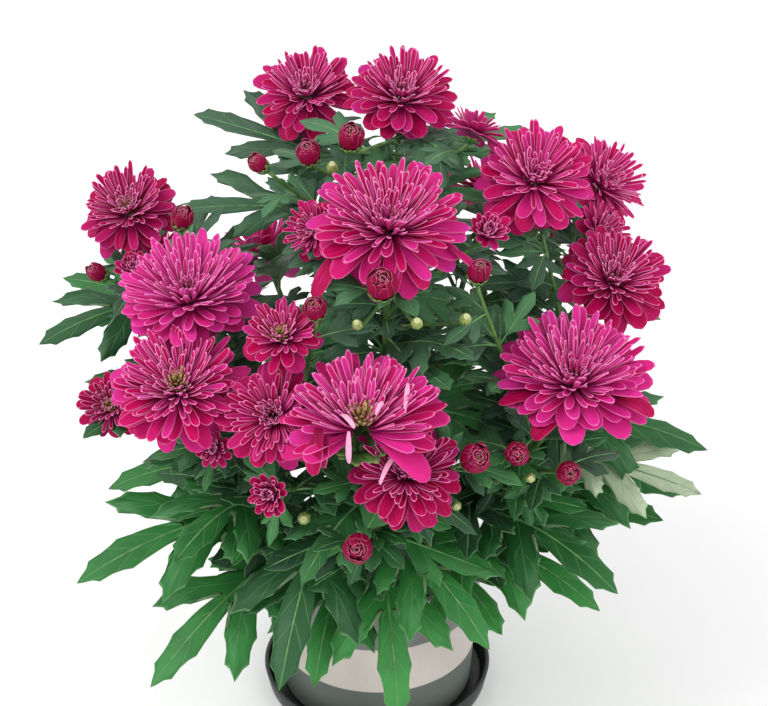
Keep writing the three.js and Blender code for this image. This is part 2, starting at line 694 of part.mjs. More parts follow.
// The soil has a plain hole for each stem
let soil = soilSolid();
for (const stem of STEMS) {
  const hole = rod(stem.curve, STEM.radius + CLEARANCE, STEM.sides, STEM.steps);
  soil = soil.subtract(solidOf(hole));
}
keep("soil", soil);

// Calyxes, green buds and stalks
for (const flower of [...flowerNodes, ...GREEN_BUDS]) {
  const stem = STEMS[flower.stem - 1];
  keep(stem.name, flower.name ? calyxOf(flower) : greenBudOf(flower));
  if (flower.leaves === 1) continue;
  keep(stem.name, solidOf(rod(stalkCurve(stem, flower), STALK.radius, STALK.sides, STALK.steps)));
}

// Petals, each bent or shortened until it is clear of every other node
const PETAL_WAYS = PETAL_REACHES.flatMap((shorten) => PETAL_RISES.map((raise) => ({ shorten, raise })));
const LOST_PETAL = { shorten: 0.1, raise: 0 };
for (const flower of flowerNodes.filter(({ open }) => open)) {
  const ways = layersOf(flower).map((layer, k) =>
    Array.from({ length: layer.petals }, (_, i) => {
      const turn = THREE.MathUtils.radToDeg(turnOf(layer, k, i));
      const fromFront = THREE.MathUtils.euclideanModulo(turn + 90 + 180, 360) - 180;
      if (Math.abs(fromFront) < (flower.bare ?? 0)) return LOST_PETAL;
      const crossing = (way, lift) => crosses(flower.name, petalSolid(flower, k, i, way, lift));
      const clear = (way) => ![-CLEARANCE, 0, CLEARANCE].some((lift) => crossing(way, lift));
      return PETAL_WAYS.find(clear) ?? LOST_PETAL;
    }),
  );
  built.delete(flower.name);
  keep(flower.name, bloomOf(flower, ways));
}

// Leaves: the large ones where they hang, then the ruled ones round each stem
const leaves = LARGE_LEAVES.map((leaf) => ({ ...leaf }));
for (const [i, stem] of STEMS.entries()) {
  for (let j = 0; j < RULED_LEAVES.perStem; j += 1) {
    const k = i * RULED_LEAVES.perStem + j;
    const height = RULED_LEAVES.lowest + RULED_LEAVES.spacing * j;
    const root = stem.curve.getPoint(height);
    const outward = Math.atan2(root.y, root.x);
    const aside = RULED_LEAVES.aside * (k % 2 ? 1 : -1) + RULED_LEAVES.asideSpread * (draw(k, 5) - 0.5);
    const heading = outward + rad(aside);
    const shrink = 1 - RULED_LEAVES.shorter * (height - RULED_LEAVES.lowest);
    const reach = RULED_LEAVES.length * shrink * lerp(...RULED_LEAVES.lengthSpread, draw(k, 6));
    const tip = [
      root.x + reach * Math.cos(heading),
      root.y + reach * Math.sin(heading),
      root.z + lerp(...RULED_LEAVES.tipHeights, draw(k, 7)),
    ];
    const width = reach * RULED_LEAVES.widthShare;
    leaves.push({ stem: i + 1, leaves: height, tip, width, arch: RULED_LEAVES.arch, ruled: true });
  }
}
const LEAF_WAYS = LEAF_SIZES.flatMap((size) =>
  LEAF_DROPS.flatMap((drop) => LEAF_TURNS.map((turn) => ({ size, drop, turn }))),
);
const blades = [];
for (const [k, leaf] of leaves.entries()) {
  const stem = STEMS[leaf.stem - 1];
  const root = stem.curve.getPoint(leaf.leaves);
  const make = ({ size, drop, turn }, grow) => {
    const reach = vec(leaf.tip).sub(root).multiplyScalar(size);
    const tip = root.clone().add(reach.applyAxisAngle(UP, rad(turn))).addScaledVector(UP, drop);
    const bent = { ...leaf, tip: tip.toArray(), width: leaf.width * size, arch: leaf.arch * size };
    return leafOf(bent, root, k, grow);
  };
  const clear = LEAF_WAYS.find((way) => !crosses(stem.name, make(way, CLEARANCE), blades));
  if (clear) blades.push(keep(stem.name, make(clear, 0)));
}

const FINISH = {
  saucer: { color: 0x1b1d1c, roughness: 0.45 },
  pot: { color: 0x646c65, roughness: 0.4 },
  soil: { color: 0x2f241c, roughness: 1 },
  green: { color: 0x22592c, roughness: 0.6 },
  magenta: { color: 0xb01560, roughness: 0.55 },
};

const plant = new THREE.Group();

function addNode(name, solid, finish) {
  const material = new THREE.MeshStandardMaterial({ ...FINISH[finish], metalness: 0 });
  const mesh = new THREE.Mesh(geometryOf(solid), material);
  mesh.name = name;
  plant.add(mesh);
}

for (const name of ["saucer", "pot", "soil"]) addNode(name, fused(name), name);
for (const stem of STEMS) addNode(stem.name, fused(stem.name), "green");
for (const flower of flowerNodes) addNode(flower.name, fused(flower.name), "magenta");

export default plant;
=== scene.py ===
# A potted chrysanthemum: its pot and saucer, its soil, ten leafy stems, and their blooms and buds.
# Lengths in the tables are in millimetres, as on the plant, and every mesh is made in metres.
from collections import namedtuple
from math import atan2, copysign, cos, degrees, pi, radians, sin, sqrt

import bmesh
import bpy
from mathutils import Matrix, Vector


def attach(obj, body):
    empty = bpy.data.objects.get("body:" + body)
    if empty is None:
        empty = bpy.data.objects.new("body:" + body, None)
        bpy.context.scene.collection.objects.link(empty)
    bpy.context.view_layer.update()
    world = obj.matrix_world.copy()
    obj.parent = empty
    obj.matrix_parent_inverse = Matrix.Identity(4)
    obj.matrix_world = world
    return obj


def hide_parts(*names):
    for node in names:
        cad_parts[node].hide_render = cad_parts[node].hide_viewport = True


MM = 0.001

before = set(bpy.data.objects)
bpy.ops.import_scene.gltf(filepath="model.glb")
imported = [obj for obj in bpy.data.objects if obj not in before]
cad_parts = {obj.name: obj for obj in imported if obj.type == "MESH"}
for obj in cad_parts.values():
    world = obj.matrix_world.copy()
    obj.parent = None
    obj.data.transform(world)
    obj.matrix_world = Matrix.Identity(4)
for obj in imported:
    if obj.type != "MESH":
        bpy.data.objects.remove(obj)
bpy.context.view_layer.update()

# The pot, the saucer and the soil
SAUCER = {"height": 12, "rim": 65, "foot": 62.5, "wall": 2.2, "floor": 2.5}
POT = {"bottom": 2.8, "top": 92, "rim": 60, "foot": 54.4, "wall": 3.6, "floor": 4, "drain": 6}
POT_BANDS = {"cream": 30, "mauve": 61}
SOIL = {"bottom": 7.2, "edge": 74, "crown": 77, "foot": 49.3, "rim": 53.7, "crumbs": 260}
ROUND_STEPS = 96
# The turn in radians from one part to the next, where parts follow a plant's spiral
SPIRAL = 2.4

# The rings of petals of a large bloom, from the outermost in: how many petals, how far they rise in
# degrees, their reach and width as shares of the bloom's radius, and how far their channel bends round
RINGS = [
    (11, -8, 0.8, 0.37, 24),
    (13, 3, 0.8, 0.31, 36),
    (17, 13, 0.8, 0.215, 62),
    (23, 23, 0.8, 0.14, 110),
    (29, 32, 0.78, 0.098, 145),
    (32, 41, 0.7, 0.08, 165),
    (30, 49, 0.57, 0.07, 175),
    (25, 57, 0.43, 0.058, 175),
    (19, 64, 0.29, 0.05, 150),
    (15, 70, 0.18, 0.042, 130),
]
# The rings that a bloom this wide or wider has, the share of their petals that it keeps, and how much
# further they rise
RING_CHOICES = [
    (68, range(10), 1, 0),
    (48, (0, 1, 2, 4, 5, 7, 8, 9), 0.9, 2),
    (29, (0, 2, 4, 6, 8, 9), 0.75, 6),
    (0, (2, 4, 6, 8), 0.65, 27),
]
# What changes from a bloom's outermost petals to its innermost: where their root lies, as shares of the
# bloom's radius, how far they curve in degrees, how wide their root and tip are as shares of their width,
# and where they are broadest as a share of their length
PETAL = {"radius": (0.18, 0.07), "height": (0.07, 0.19), "curve": (-26, 26), "claw": (0.26, 0.5),
         "tip": (0.08, 0.4), "broadest": (0.6, 0.86)}
# How much petals differ: the whole spread of their rise, curve and twist in degrees and of their sway as
# a share of the radius, then the least and most of their hang, reach, width and channel
SPREAD = {"rise": 16, "curve": 30, "twist": 60, "sway": 0.2, "hang": (0.5, 1.3), "reach": (0.84, 1.1),
          "width": (0.78, 1.14), "channel": (0.7, 1.3)}
# Loose petals, by their bloom's number from the first: long ones that droop out of a bloom, and those
# torn from the bare bloom, of which some hang from it and two lie on the bloom below it. Each: where it
# starts, its heading and tilt in degrees, its length and width, how far it curls, and how pale it is
LOOSE = {
    2: [((4, -92, 334), -100, -34, 28, 11, 30, 0.1), ((-16, -90, 334), -125, -32, 30, 10, 30, 0.1),
        ((34, -90, 336), -30, -26, 22, 5, 20, 0.3)],
    10: [((98, -110, 257), -145, -24, 28, 13, 40, 0), ((117, -108, 260), -24, -12, 24, 12, 30, 0.1),
         ((84, -106, 259), -164, 0, 24, 9, 30, 0)],
    11: [((-13, -156, 270), -90, -78, 17, 3, 20, 1), ((-27, -156, 272), -110, -62, 24, 9, 40, 0.2),
         ((-22, -157, 268), -130, -66, 17, 7, 50, 0.3), ((14, -152, 278), 84, 24, 19, 2.2, 50, 1),
         ((0, -152, 277), 65, 24, 9, 2, 50, 1), ((-17, -153, 278), -56, 0, 13, 2.4, 60, 0.9)],
    14: [((2, -163, 244), 64, 28, 17, 2.4, 50, 1), ((11, -151, 251), -28, -6, 17, 2.4, 70, 1)],
}
# The florets that have not opened, in a bloom and in a bud: how many, how far out the last one stands,
# their reach, their longest, their width, how they rise from root to tip in radians, how much less the
# outer ones do, how wide their tip is, and the first of their draws
EYE_FLORETS = (34, 0.15, 0.14, 1.2, 0.05, (1.1, 1.4), 3, 0.4, 31)
BUD_FLORETS = (14, 0.34, 0.34, 1.1, 0.16, (1.2, 1.5), 0, 0.3, 17)
EYE_HEIGHT = (0.15, 0.25)
BUD_EYE = {"height": 1.1, "green": 0.6}
# How far the lower petals of a bloom hang, by the bloom's number from the first; below 0 they rise. A
# full hang is DROOP degrees
DROOP = 42
HANG = {0: 1.3, 1: 0.5, 2: 1.0, 3: 0.9, 4: -0.3, 5: 0.4, 6: 1.4, 8: 0, 10: -0.75, 11: 0.1, 14: 0.7}
USUAL_HANG = 0.4
# The rings of petals of a bud, from the outermost in: how many petals, where their root lies, how they
# rise from root to tip in degrees, and their reach; root and reach are shares of the bud's radius
BUD_RINGS = [
    (13, (0.36, 0.0), (18, 128), 1.8),
    (12, (0.32, 0.08), (20, 138), 1.74),
    (10, (0.26, 0.14), (26, 142), 1.56),
]

# A bloom or bud: the middle of its base, how wide it is, the way it leans in degrees (0 is the front, 90
# is +X) and how far, its stem, how far up the stem its stalk leaves (at 1 it tops the stem), its tint
# (0 crimson, 1 lilac), the colour of its eye (0 dark, 1 yellow-green), and how far to each side of its
# front it has lost its petals
Flower = namedtuple("Flower", "base width toward lean stem height tint eye bare", defaults=(0, 0, 0))

BLOOMS = [Flower(*row) for row in (
    ((-37, 57, 343), 58, -10, 24, 8, 0.66, 0.3, 0.1),
    ((13, 29, 355), 60, 10, 18, 8, 1, 0.3, 0.1),
    ((6, -77, 335), 80, 0, 16, 5, 1, 0.45, 0),
    ((-132, 29, 288), 56, -20, 28, 2, 1, 0.2, 0.4),
    ((-94, -62, 286), 78, -8, 13, 1, 0.6, 0.95, 0.1),
    ((-98, -104, 259), 72, -10, 26, 1, 1, 0.5, 0.9),
    ((81, -19, 332), 64, 2, 24, 7, 0.7, 0.45, 0),
    ((119, 42, 298), 54, 60, 46, 7, 0.62, 0.4, 0),
    ((122, -36, 283), 60, 20, 30, 7, 1, 0.25, 0),
    ((117, 12, 284), 40, 60, 48, 7, 0.8, 0.4, 0),
    ((99, -91, 255), 82, 8, 18, 6, 1, 0.75, 0),
    ((-7, -140, 259), 84, 0, 14, 3, 1, 0.6, 0.7, 44),
    ((-50, -122, 256), 54, -12, 46, 4, 1, 0.35, 0.1),
    ((-46, -104, 290), 44, -15, 28, 4, 0.72, 0.3, 0.9),
    ((15, -141, 234), 60, 6, 32, 3, 0.62, 0.2, 0.1),
    ((-138, -54, 219), 38, -15, 50, 1, 0.48, 0.1, 0.8),
    ((-30, -52, 322), 34, -40, 50, 5, 0.78, 0.3, 0.2),
    ((55, -62, 326), 28, 20, 38, 5, 0.74, 0.35, 0.7),
    ((49, -9, 355), 32, 150, 40, 8, 0.8, 0.3, 0.1),
    ((-126, -9, 273), 26, -20, 30, 2, 0.74, 0.2, 0.1),
    ((64, 114, 250), 62, 150, 42, 10, 1, 0.4, 0.2),
    ((-64, 124, 206), 60, -152, 50, 9, 1, 0.5, 0.1),
    ((0, 142, 220), 58, 178, 56, 9, 0.56, 0.3, 0.4),
    ((126, 82, 220), 50, 122, 56, 10, 0.58, 0.4, 0.1),
    ((-124, 88, 222), 52, -128, 56, 9, 0.6, 0.3, 0.6),
)]

# The magenta buds
BUDS = [Flower(*row) for row in (
    ((-33, -34, 354), 15, -20, 30, 8, 0.72, 0.1, 0.3),
    ((-13, -32, 361), 16, 10, 25, 8, 0.86, 0.1, 0.5),
    ((-57, -32, 348), 11, -60, 40, 8, 0.6, 0.1, 0.2),
    ((3, -112, 323), 19, 0, 34, 5, 0.86, 0.1, 0.4),
    ((50, -94, 320), 14, 10, 25, 6, 0.7, 0.3, 0),
    ((-51, -140, 223), 28, -20, 62, 4, 0.5, 0.1, 0.2),
    ((-9, -150, 198), 18, 0, 62, 3, 0.46, 0.1, 0.6),
    ((96, -113, 217), 15, 10, 58, 6, 0.56, 0.1, 0.3),
    ((70, -124, 236), 15, 0, 60, 6, 0.62, 0.1, 0.3),
    ((-100, -27, 313), 14, 20, 24, 1, 0.56, 0.3, 0.2),
    ((-146, 6, 263), 12, -60, 46, 2, 0.68, 0.1, 0.2),
    ((-29, -111, 310), 14, -10, 36, 4, 0.78, 0.1, 0.2),
    ((47, -137, 241), 18, 20, 52, 3, 0.54, 0.1, 0.3),
    ((-80, -120, 237), 24, -10, 62, 1, 0.66, 0.1, 0.2),
    ((10, 108, 268), 16, 178, 34, 10, 0.7, 0.2, 0.3),
    ((98, 116, 222), 16, 140, 46, 10, 0.66, 0.2, 0.3),
)]

# The tight green buds
GREEN_BUDS = [Flower(*row) for row in (
    ((-22, -40, 352), 8, 0, 30, 8, 0.7),
    ((20, -118, 308), 8, 0, 40, 5, 0.8),
    ((44, -104, 302), 8, 10, 40, 5, 0.7),
    ((-9, -116, 306), 7, -10, 40, 5, 0.78),
    ((77, -128, 224), 7, 0, 60, 6, 0.5),
    ((40, -138, 214), 7, 0, 60, 3, 0.5),
    ((-36, -136, 205), 9, 0, 60, 4, 0.4),
)]

# Where each stem stands in the soil
STEM_ROOTS = [(-18, -16), (-28, 4), (4, -31), (-11, -28), (1, -9), (18, -19), (28, -4), (5, 9),
              (-15, 18), (17, 20)]
STEM = {"radius": 2, "depth": 54, "lift": 70, "reach": 45, "sides": 9, "steps": 14}
STALK = {"radius": 1.2, "lift": 14, "reach": 14, "sides": 7, "steps": 8, "green": 0.8}
# A bud wider than this has opened, and is built as a small bloom
RIPE_BUD = 22
# The rings of green scales under an open flower and under a bud: how many, where their root lies, how
# they rise from root to tip in degrees, and their reach and width; lengths are shares of the cup's radius
FLOWER_SCALES = [(10, (0.25, -1.2), (50, 12), 1.2, 0.6), (9, (0.2, -1.05), (40, 2), 1.3, 0.65)]
BUD_SCALES = [(9, (0.2, -1.1), (12, 78), 1.9, 0.75), (9, (0.2, -0.9), (10, 84), 2.1, 0.75)]
# The wrapped scales of a tight green bud: the rings, how many there are in each, and their rise
GREEN_SCALES = {"rings": 3, "each": 7, "rise": (20, 165)}

# The large leaves: the stem, how far up it the leaf leaves, the leaf's tip, its width, how far its back
# arches, and its tone (0 deep green, 1 pale)
LARGE_LEAVES = [
    (1, 0.46, (-102, -136, 178), 62, 26, 0.35),
    (1, 0.38, (-156, -108, 144), 72, 30, 0.4),
    (1, 0.26, (-119, -124, 88), 65, 34, 0.45),
    (4, 0.42, (-50, -152, 108), 72, 34, 0.2),
    (4, 0.36, (-79, -114, 202), 50, 16, 0.2),
    (4, 0.22, (-33, -124, 88), 58, 30, 0.5),
    (3, 0.3, (12, -134, 72), 68, 36, 0.55),
    (3, 0.42, (58, -146, 130), 65, 28, 0.45),
    (6, 0.2, (66, -110, 112), 58, 24, 0.8),
    (6, 0.42, (124, -128, 152), 70, 26, 0.3),
    (6, 0.3, (118, -100, 120), 62, 26, 0.5),
    (6, 0.44, (46, -134, 178), 55, 20, 0.1),
    (7, 0.36, (169, -38, 152), 58, 24, 0.3),
    (7, 0.52, (177, -40, 182), 62, 22, 0.3),
    (7, 0.42, (172, -64, 170), 48, 20, 0.95),
    (7, 0.28, (154, -54, 146), 60, 22, 0.3),
    (2, 0.7, (-179, -20, 236), 55, 16, 0.2),
    (2, 0.56, (-156, -42, 200), 42, 20, 0.3),
    (2, 0.62, (-173, 47, 238), 48, 16, 0.4),
    (8, 0.78, (-98, 56, 334), 50, 6, 0.1),
    (8, 0.7, (-102, -6, 310), 50, 12, 0.2),
    (8, 0.8, (82, 46, 330), 35, 12, 0.6),
    (8, 0.74, (58, -9, 316), 38, 12, 0.5),
    (8, 0.9, (44, -16, 338), 40, 12, 0.2),
    (5, 0.6, (36, -128, 276), 48, 16, 0.3),
    (5, 0.66, (48, -119, 288), 42, 16, 0.2),
    (6, 0.64, (62, -124, 226), 42, 14, 0.4),
    (2, 0.3, (-150, 2, 128), 65, 28, 0.4),
    (9, 0.3, (-112, 96, 122), 68, 28, 0.3),
    (9, 0.24, (-34, 138, 104), 68, 30, 0.5),
    (10, 0.24, (42, 140, 106), 68, 30, 0.4),
    (10, 0.3, (124, 92, 118), 68, 28, 0.3),
    (7, 0.24, (152, 14, 126), 62, 26, 0.5),
]

# The leaves higher up follow a rule: this many on each stem, from the lowest height up. A few are bent
# clear of their neighbours, by their number from the first: a turn in degrees, a rise and a size
RULED = {"per_stem": 4, "lowest": 0.38, "spacing": 0.14, "length": 78, "shorter": 0.7, "arch": 16}
BENT = {
    0: (24, 0, 1), 1: (0, 24, 0.72), 4: (12, 12, 1), 6: (12, 0, 1), 9: (-12, 12, 0.72),
    10: (24, -12, 1), 12: (0, 0, 0.72), 13: (-24, 24, 0.86), 14: (24, 12, 0.86), 15: (12, 0, 1),
    16: (-24, 12, 1), 17: (12, 0, 1), 21: (0, 24, 1), 24: (12, 12, 1), 31: (12, 0, 1), 32: (24, 0, 1),
    33: (12, -12, 1),
}

# The lobes of half a leaf, as shares of its length: where a lobe's first and last ray leave the midrib,
# where its axis does, the lobe's tip along and aside, its half width, and how far out its two sides end
LOBES = [
    (0.19, 0.32, 0.23, (0.4, 0.3), 0.074, (0.1, 0.5)),
    (0.34, 0.51, 0.34, (0.75, 0.34), 0.086, (0.36, 0.3)),
    (0.55, 1.0, 0.55, (1.0, 0.0), 0.1, (0.16, 0.16)),
]
SMALL_LOBES = [
    (0.22, 0.42, 0.32, (0.65, 0.3), 0.1, (0.1, 0.42)),
    (0.48, 1.0, 0.48, (1.0, 0.0), 0.115, (0.16, 0.16)),
]
# A leaf narrower than this share of its length has a shorter blade and a longer stalk
SLIMMEST_LEAF = 0.58
# How far a large leaf's blade is rolled towards the front, in degrees, where it points to the side
LEAF_ROLL = 24
# How far out a leaf's map reaches, as a share of its length, and its side veins: where each starts and
# ends, along the leaf and aside
LEAF_REACH = 0.35
SIDE_VEINS = [((0.25, 0), (0.41, 0.28)), ((0.37, 0), (0.74, 0.33)), ((0.6, 0), (0.78, 0.1)),
              ((0.74, 0), (0.88, 0.09)), ((0.31, 0.1), (0.45, 0.2)), ((0.5, 0.11), (0.58, 0.27)),
              ((0.57, 0.17), (0.72, 0.22))]

# The small leaves that fill the crown: its middle and radii, how low it goes as a share of its height,
# the size of each of its shells as a share of its radii, and how many leaf tips lie on it
CROWN = {"middle": (0, -6, 205), "radii": (142, 142, 145), "lowest": -0.62}
CROWN_SHELLS = [(0.9, 190), (0.74, 190), (0.56, 150), (0.4, 60)]
CROWN_LEAF = {"least": 30, "most": 84, "width": 0.78, "widest": 46}
# The small leaves on a flower's stalk: how far up it they leave, and their least and greatest length
STALK_LEAVES = (0.4, 0.6, 0.8)
STALK_LEAF = (30, 42)

# The camera, fitted to the photo's tiled table top, and the lights: place, size and power
CAMERA = {"place": (0.004, -1.251, 0.988), "tilt": 31.6, "lens": 127.5, "sensor": 36}
AIM = (0, 0, 0.2)
LIGHTS = {
    "window": ((-1.3, -0.7, 1.9), 1.2, 26),
    "front_fill": ((1.2, -1.8, 1.3), 1.6, 10),
    "right_fill": ((1.7, 0.1, 1.2), 1.4, 9),
}
SKY_STRENGTH = 0.92


def draw(k, n):
    """A repeatable draw from 0 to 1 for piece k's value n."""
    return sin(k * 12.9898 + n * 78.233) * 43758.5453 % 1


def between(low, high, share):
    return low + (high - low) * share


def srgb(red, green, blue):
    """A colour as the eye names it, 0 to 255, as light."""
    shares = [channel / 255 for channel in (red, green, blue)]
    light = [s / 12.92 if s < 0.04045 else ((s + 0.055) / 1.055) ** 2.4 for s in shares]
    return (*light, 1)


class Shade:
    """A shader socket that Python's own arithmetic works on."""

    def __init__(self, finish, socket):
        self.finish = finish
        self.socket = socket

    def maths(self, operation, *values):
        return self.finish.node("ShaderNodeMath", {"operation": operation}, dict(enumerate(values)))

    def __add__(self, other):
        return self.maths("ADD", self, other)

    __radd__ = __add__

    def __sub__(self, other):
        return self.maths("SUBTRACT", self, other)

    def __rsub__(self, other):
        return self.maths("SUBTRACT", other, self)

    def __mul__(self, other):
        return self.maths("MULTIPLY", self, other)

    __rmul__ = __mul__

    def __abs__(self):
        return self.maths("ABSOLUTE", self)

    def part(self, name):
        """Another output of the same node."""
        return Shade(self.finish, self.socket.node.outputs[name])


class Finish:
    """A material and the nodes that make it."""

    def __init__(self, name, **constants):
        self.material = bpy.data.materials.new(name)
        self.material.use_nodes = True
        self.tree = self.material.node_tree
        self.shader = self.tree.nodes["Principled BSDF"]
        for socket, value in constants.items():
            self.shader.inputs[socket.replace("_", " ")].default_value = value

    def node(self, kind, settings, sockets, out=0):
        made = self.tree.nodes.new(kind)
        for name, value in settings.items():
            setattr(made, name, value)
        for name, value in sockets.items():
            self.feed(made.inputs[name], value)
        return Shade(self, made.outputs[out])

    def feed(self, socket, value):
        if isinstance(value, Shade):
            self.tree.links.new(value.socket, socket)
        else:
            socket.default_value = value

    def surface(self, **values):
        for name, value in values.items():
            self.feed(self.shader.inputs[name.replace("_", " ")], value)
        return self.material

    def mixed(self, share, *colours):
        """A mix of two colours, each worked out before or as the eye names it."""
        first, second = [c if isinstance(c, Shade) else srgb(*c) for c in colours]
        return self.node("ShaderNodeMix", {"data_type": "RGBA"}, {0: share, 6: first, 7: second}, 2)

    def fade(self, value, low, high):
        """0 below low, 1 above high, and smooth between."""
        settings = {"interpolation_type": "SMOOTHSTEP"}
        return self.node("ShaderNodeMapRange", settings, {0: value, 1: low, 2: high, 3: 0, 4: 1})

    def carried(self, name):
        """A value that the mesh carries at its points."""
        return self.node("ShaderNodeAttribute", {"attribute_name": name}, {}, "Fac")

    def across_and_along(self, name):
        place = self.node("ShaderNodeUVMap", {"uv_map": name}, {})
        across = self.node("ShaderNodeSeparateXYZ", {}, {0: place})
        return across, across.part("Y")

    def spot(self):
        return self.node("ShaderNodeTexCoord", {}, {}, "Object")

    def level(self):
        """How high a point lies."""
        return self.node("ShaderNodeSeparateXYZ", {}, {0: self.spot()}).part("Z")

    def noise(self, scale, detail, vector=None):
        sockets = {"Vector": vector or self.spot(), "Scale": scale, "Detail": detail}
        return self.node("ShaderNodeTexNoise", {}, sockets)

    def bump(self, height, distance, strength=1.0):
        sockets = {"Height": height, "Distance": distance, "Strength": strength}
        return self.node("ShaderNodeBump", {}, sockets)


def petal_material(name, deep, face, light, edge, edge_share):
    """Darker at the root, partly the petal's own deeper colour and partly painted shade where the petals
    crowd, fine ribs along the petal, and a pale edge that is brighter further in, partly the paler reverse
    curling into view and partly a painted highlight where the edge catches the light.
    """
    finish = Finish(name, Roughness=0.5, Subsurface_Weight=0.12, Subsurface_Scale=0.002)
    finish.shader.inputs["Subsurface Radius"].default_value = (1.0, 0.25, 0.4)
    finish.shader.inputs["Specular IOR Level"].default_value = 0.08
    across, along = finish.across_and_along("petal")
    aside = abs(across * 2 - 1)
    tone = finish.carried("tone")
    ring = finish.carried("ring")
    tint = finish.carried("tint")
    # Painted shade in part: the petal darkens from its tip to its root, partly its own deeper base and
    # partly the shade where petals crowd
    body = finish.mixed(finish.fade(along, 0.0, 0.45), deep, face)
    body = finish.mixed(finish.fade(tone * 0.7 + tint, 0.35, 1.5), body, light)
    body = finish.mixed((1 - finish.fade(tint, 0.1, 0.55)) * 0.4, body, deep)
    body = finish.mixed(finish.fade(along, 0.7, 1.0) * finish.fade(tone, 0.6, 1.0) * (1 - ring) * 0.6,
                        body, (176, 44, 160))
    streaks = finish.noise(9.0, 2.0, finish.node("ShaderNodeCombineXYZ", {}, {
        0: across * 3.2 + tone * 40, 1: along * 0.35, 2: tone * 17}))
    body = finish.mixed(finish.fade(streaks, 0.45, 0.72) * 0.4, body, light)
    # The pale rim is partly the paler reverse showing where the edge curls and partly a painted highlight
    # where the edge catches the light
    rim = aside.maths("MAXIMUM", aside, finish.fade(along, 0.7, 1.0))
    pale = finish.fade(rim, 0.9 - ring * 0.16, 1.0) * finish.fade(along, 0.15, 0.5) * (
        0.2 + ring * 0.8)
    body = finish.mixed(pale * edge_share, body, edge)
    height = streaks * 0.6 + finish.fade(aside, 0.75, 1.0) * 0.3
    return finish.surface(Base_Color=body, Normal=finish.bump(height, 0.0006, 0.5))


def leaf_material(name, deep, fresh, pale, vein, vein_share, vein_height):
    """A blade with a midrib and side veins, greyer higher up the plant where a bluish-grey sheen is painted
    in, and with a pale rim lower down.
    """
    finish = Finish(name, Specular_IOR_Level=0.45)
    across, along = finish.across_and_along("leaf")
    aside = abs(across * 2 - 1) * LEAF_REACH
    tone = finish.carried("tone")
    veins = 1 - finish.fade(aside, 0.002, 0.008)
    for start, end in SIDE_VEINS:
        way = Vector((end[1] - start[1], end[0] - start[0]))
        length = way.length
        way.normalize()
        out, up = aside - start[1], along - start[0]
        off = abs(out * way.y - up * way.x)
        run = out * way.x + up * way.y
        thin = (1 - finish.fade(off, 0.0008, 0.0058)) * finish.fade(run, -0.01, 0.01)
        thin = thin * (1 - finish.fade(run, length * 0.6, length))
        veins = veins.maths("MAXIMUM", veins, thin * 0.75)
    blotch = finish.noise(55.0, 3.0)
    body = finish.mixed(finish.fade(tone, 0.0, 0.8), deep, fresh)
    body = finish.mixed(finish.fade(tone, 0.78, 1.0), body, pale)
    body = finish.mixed(finish.fade(blotch, 0.4, 0.75) * 0.35, body, deep)
    # Painted sheen: the higher a leaf lies, the more it is mixed towards a bluish grey that stands in for
    # the sky's reflection on it
    high = finish.fade(finish.level(), 0.16, 0.34)
    body = finish.mixed(high * 0.4, body, (88, 116, 96))
    body = finish.mixed(veins * vein_share, body, vein)
    rim = finish.fade(finish.carried("rim"), 0.95, 1.0) * (0.5 - high * 0.42)
    body = finish.mixed(rim, body, vein)
    relief = veins * vein_height + finish.noise(420.0, 2.0) * 0.35
    rough = 0.62 - finish.fade(blotch, 0.3, 0.8) * 0.18
    return finish.surface(Base_Color=body, Roughness=rough, Normal=finish.bump(relief, 0.0006, 0.6))


def scale_material(name, deep, fresh, tip):
    """A green scale, ridged along its middle and pale at its tip."""
    finish = Finish(name, Roughness=0.6)
    across, along = finish.across_and_along("petal")
    tone = finish.carried("tone")
    body = finish.mixed(finish.fade(tone, 0.0, 1.0), deep, fresh)
    body = finish.mixed(finish.fade(along, 0.55, 1.0) * 0.7, body, tip)
    ridge = 1 - finish.fade(abs(across * 2 - 1), 0.0, 0.3)
    return finish.surface(Base_Color=body, Normal=finish.bump(ridge, 0.0004, 0.5))


def stalk_material(name, deep, fresh, woody):
    """Streaked green, browner near the soil by the share woody."""
    finish = Finish(name, Roughness=0.55)
    streaks = finish.noise(160.0, 3.0)
    body = finish.mixed(finish.fade(streaks, 0.3, 0.7), deep, fresh)
    body = finish.mixed((1 - finish.fade(finish.level(), 0.08, 0.2)) * woody, body, (96, 84, 54))
    return finish.surface(Base_Color=body, Normal=finish.bump(streaks, 0.0005, 0.5))


def eye_material():
    """Unopened florets, speckled from dark red to yellow-green."""
    finish = Finish("bloom_eye", Roughness=0.8)
    eye = finish.carried("eye")
    specks = finish.noise(900.0, 2.0)
    dark = finish.mixed(finish.fade(specks, 0.4, 0.6), (110, 8, 48), (206, 92, 140))
    green = finish.mixed(finish.fade(specks, 0.4, 0.6), (140, 104, 60), (200, 184, 108))
    body = finish.mixed(finish.fade(eye, 0.2, 0.8), dark, green)
    return finish.surface(Base_Color=body, Normal=finish.bump(specks, 0.001, 0.8))


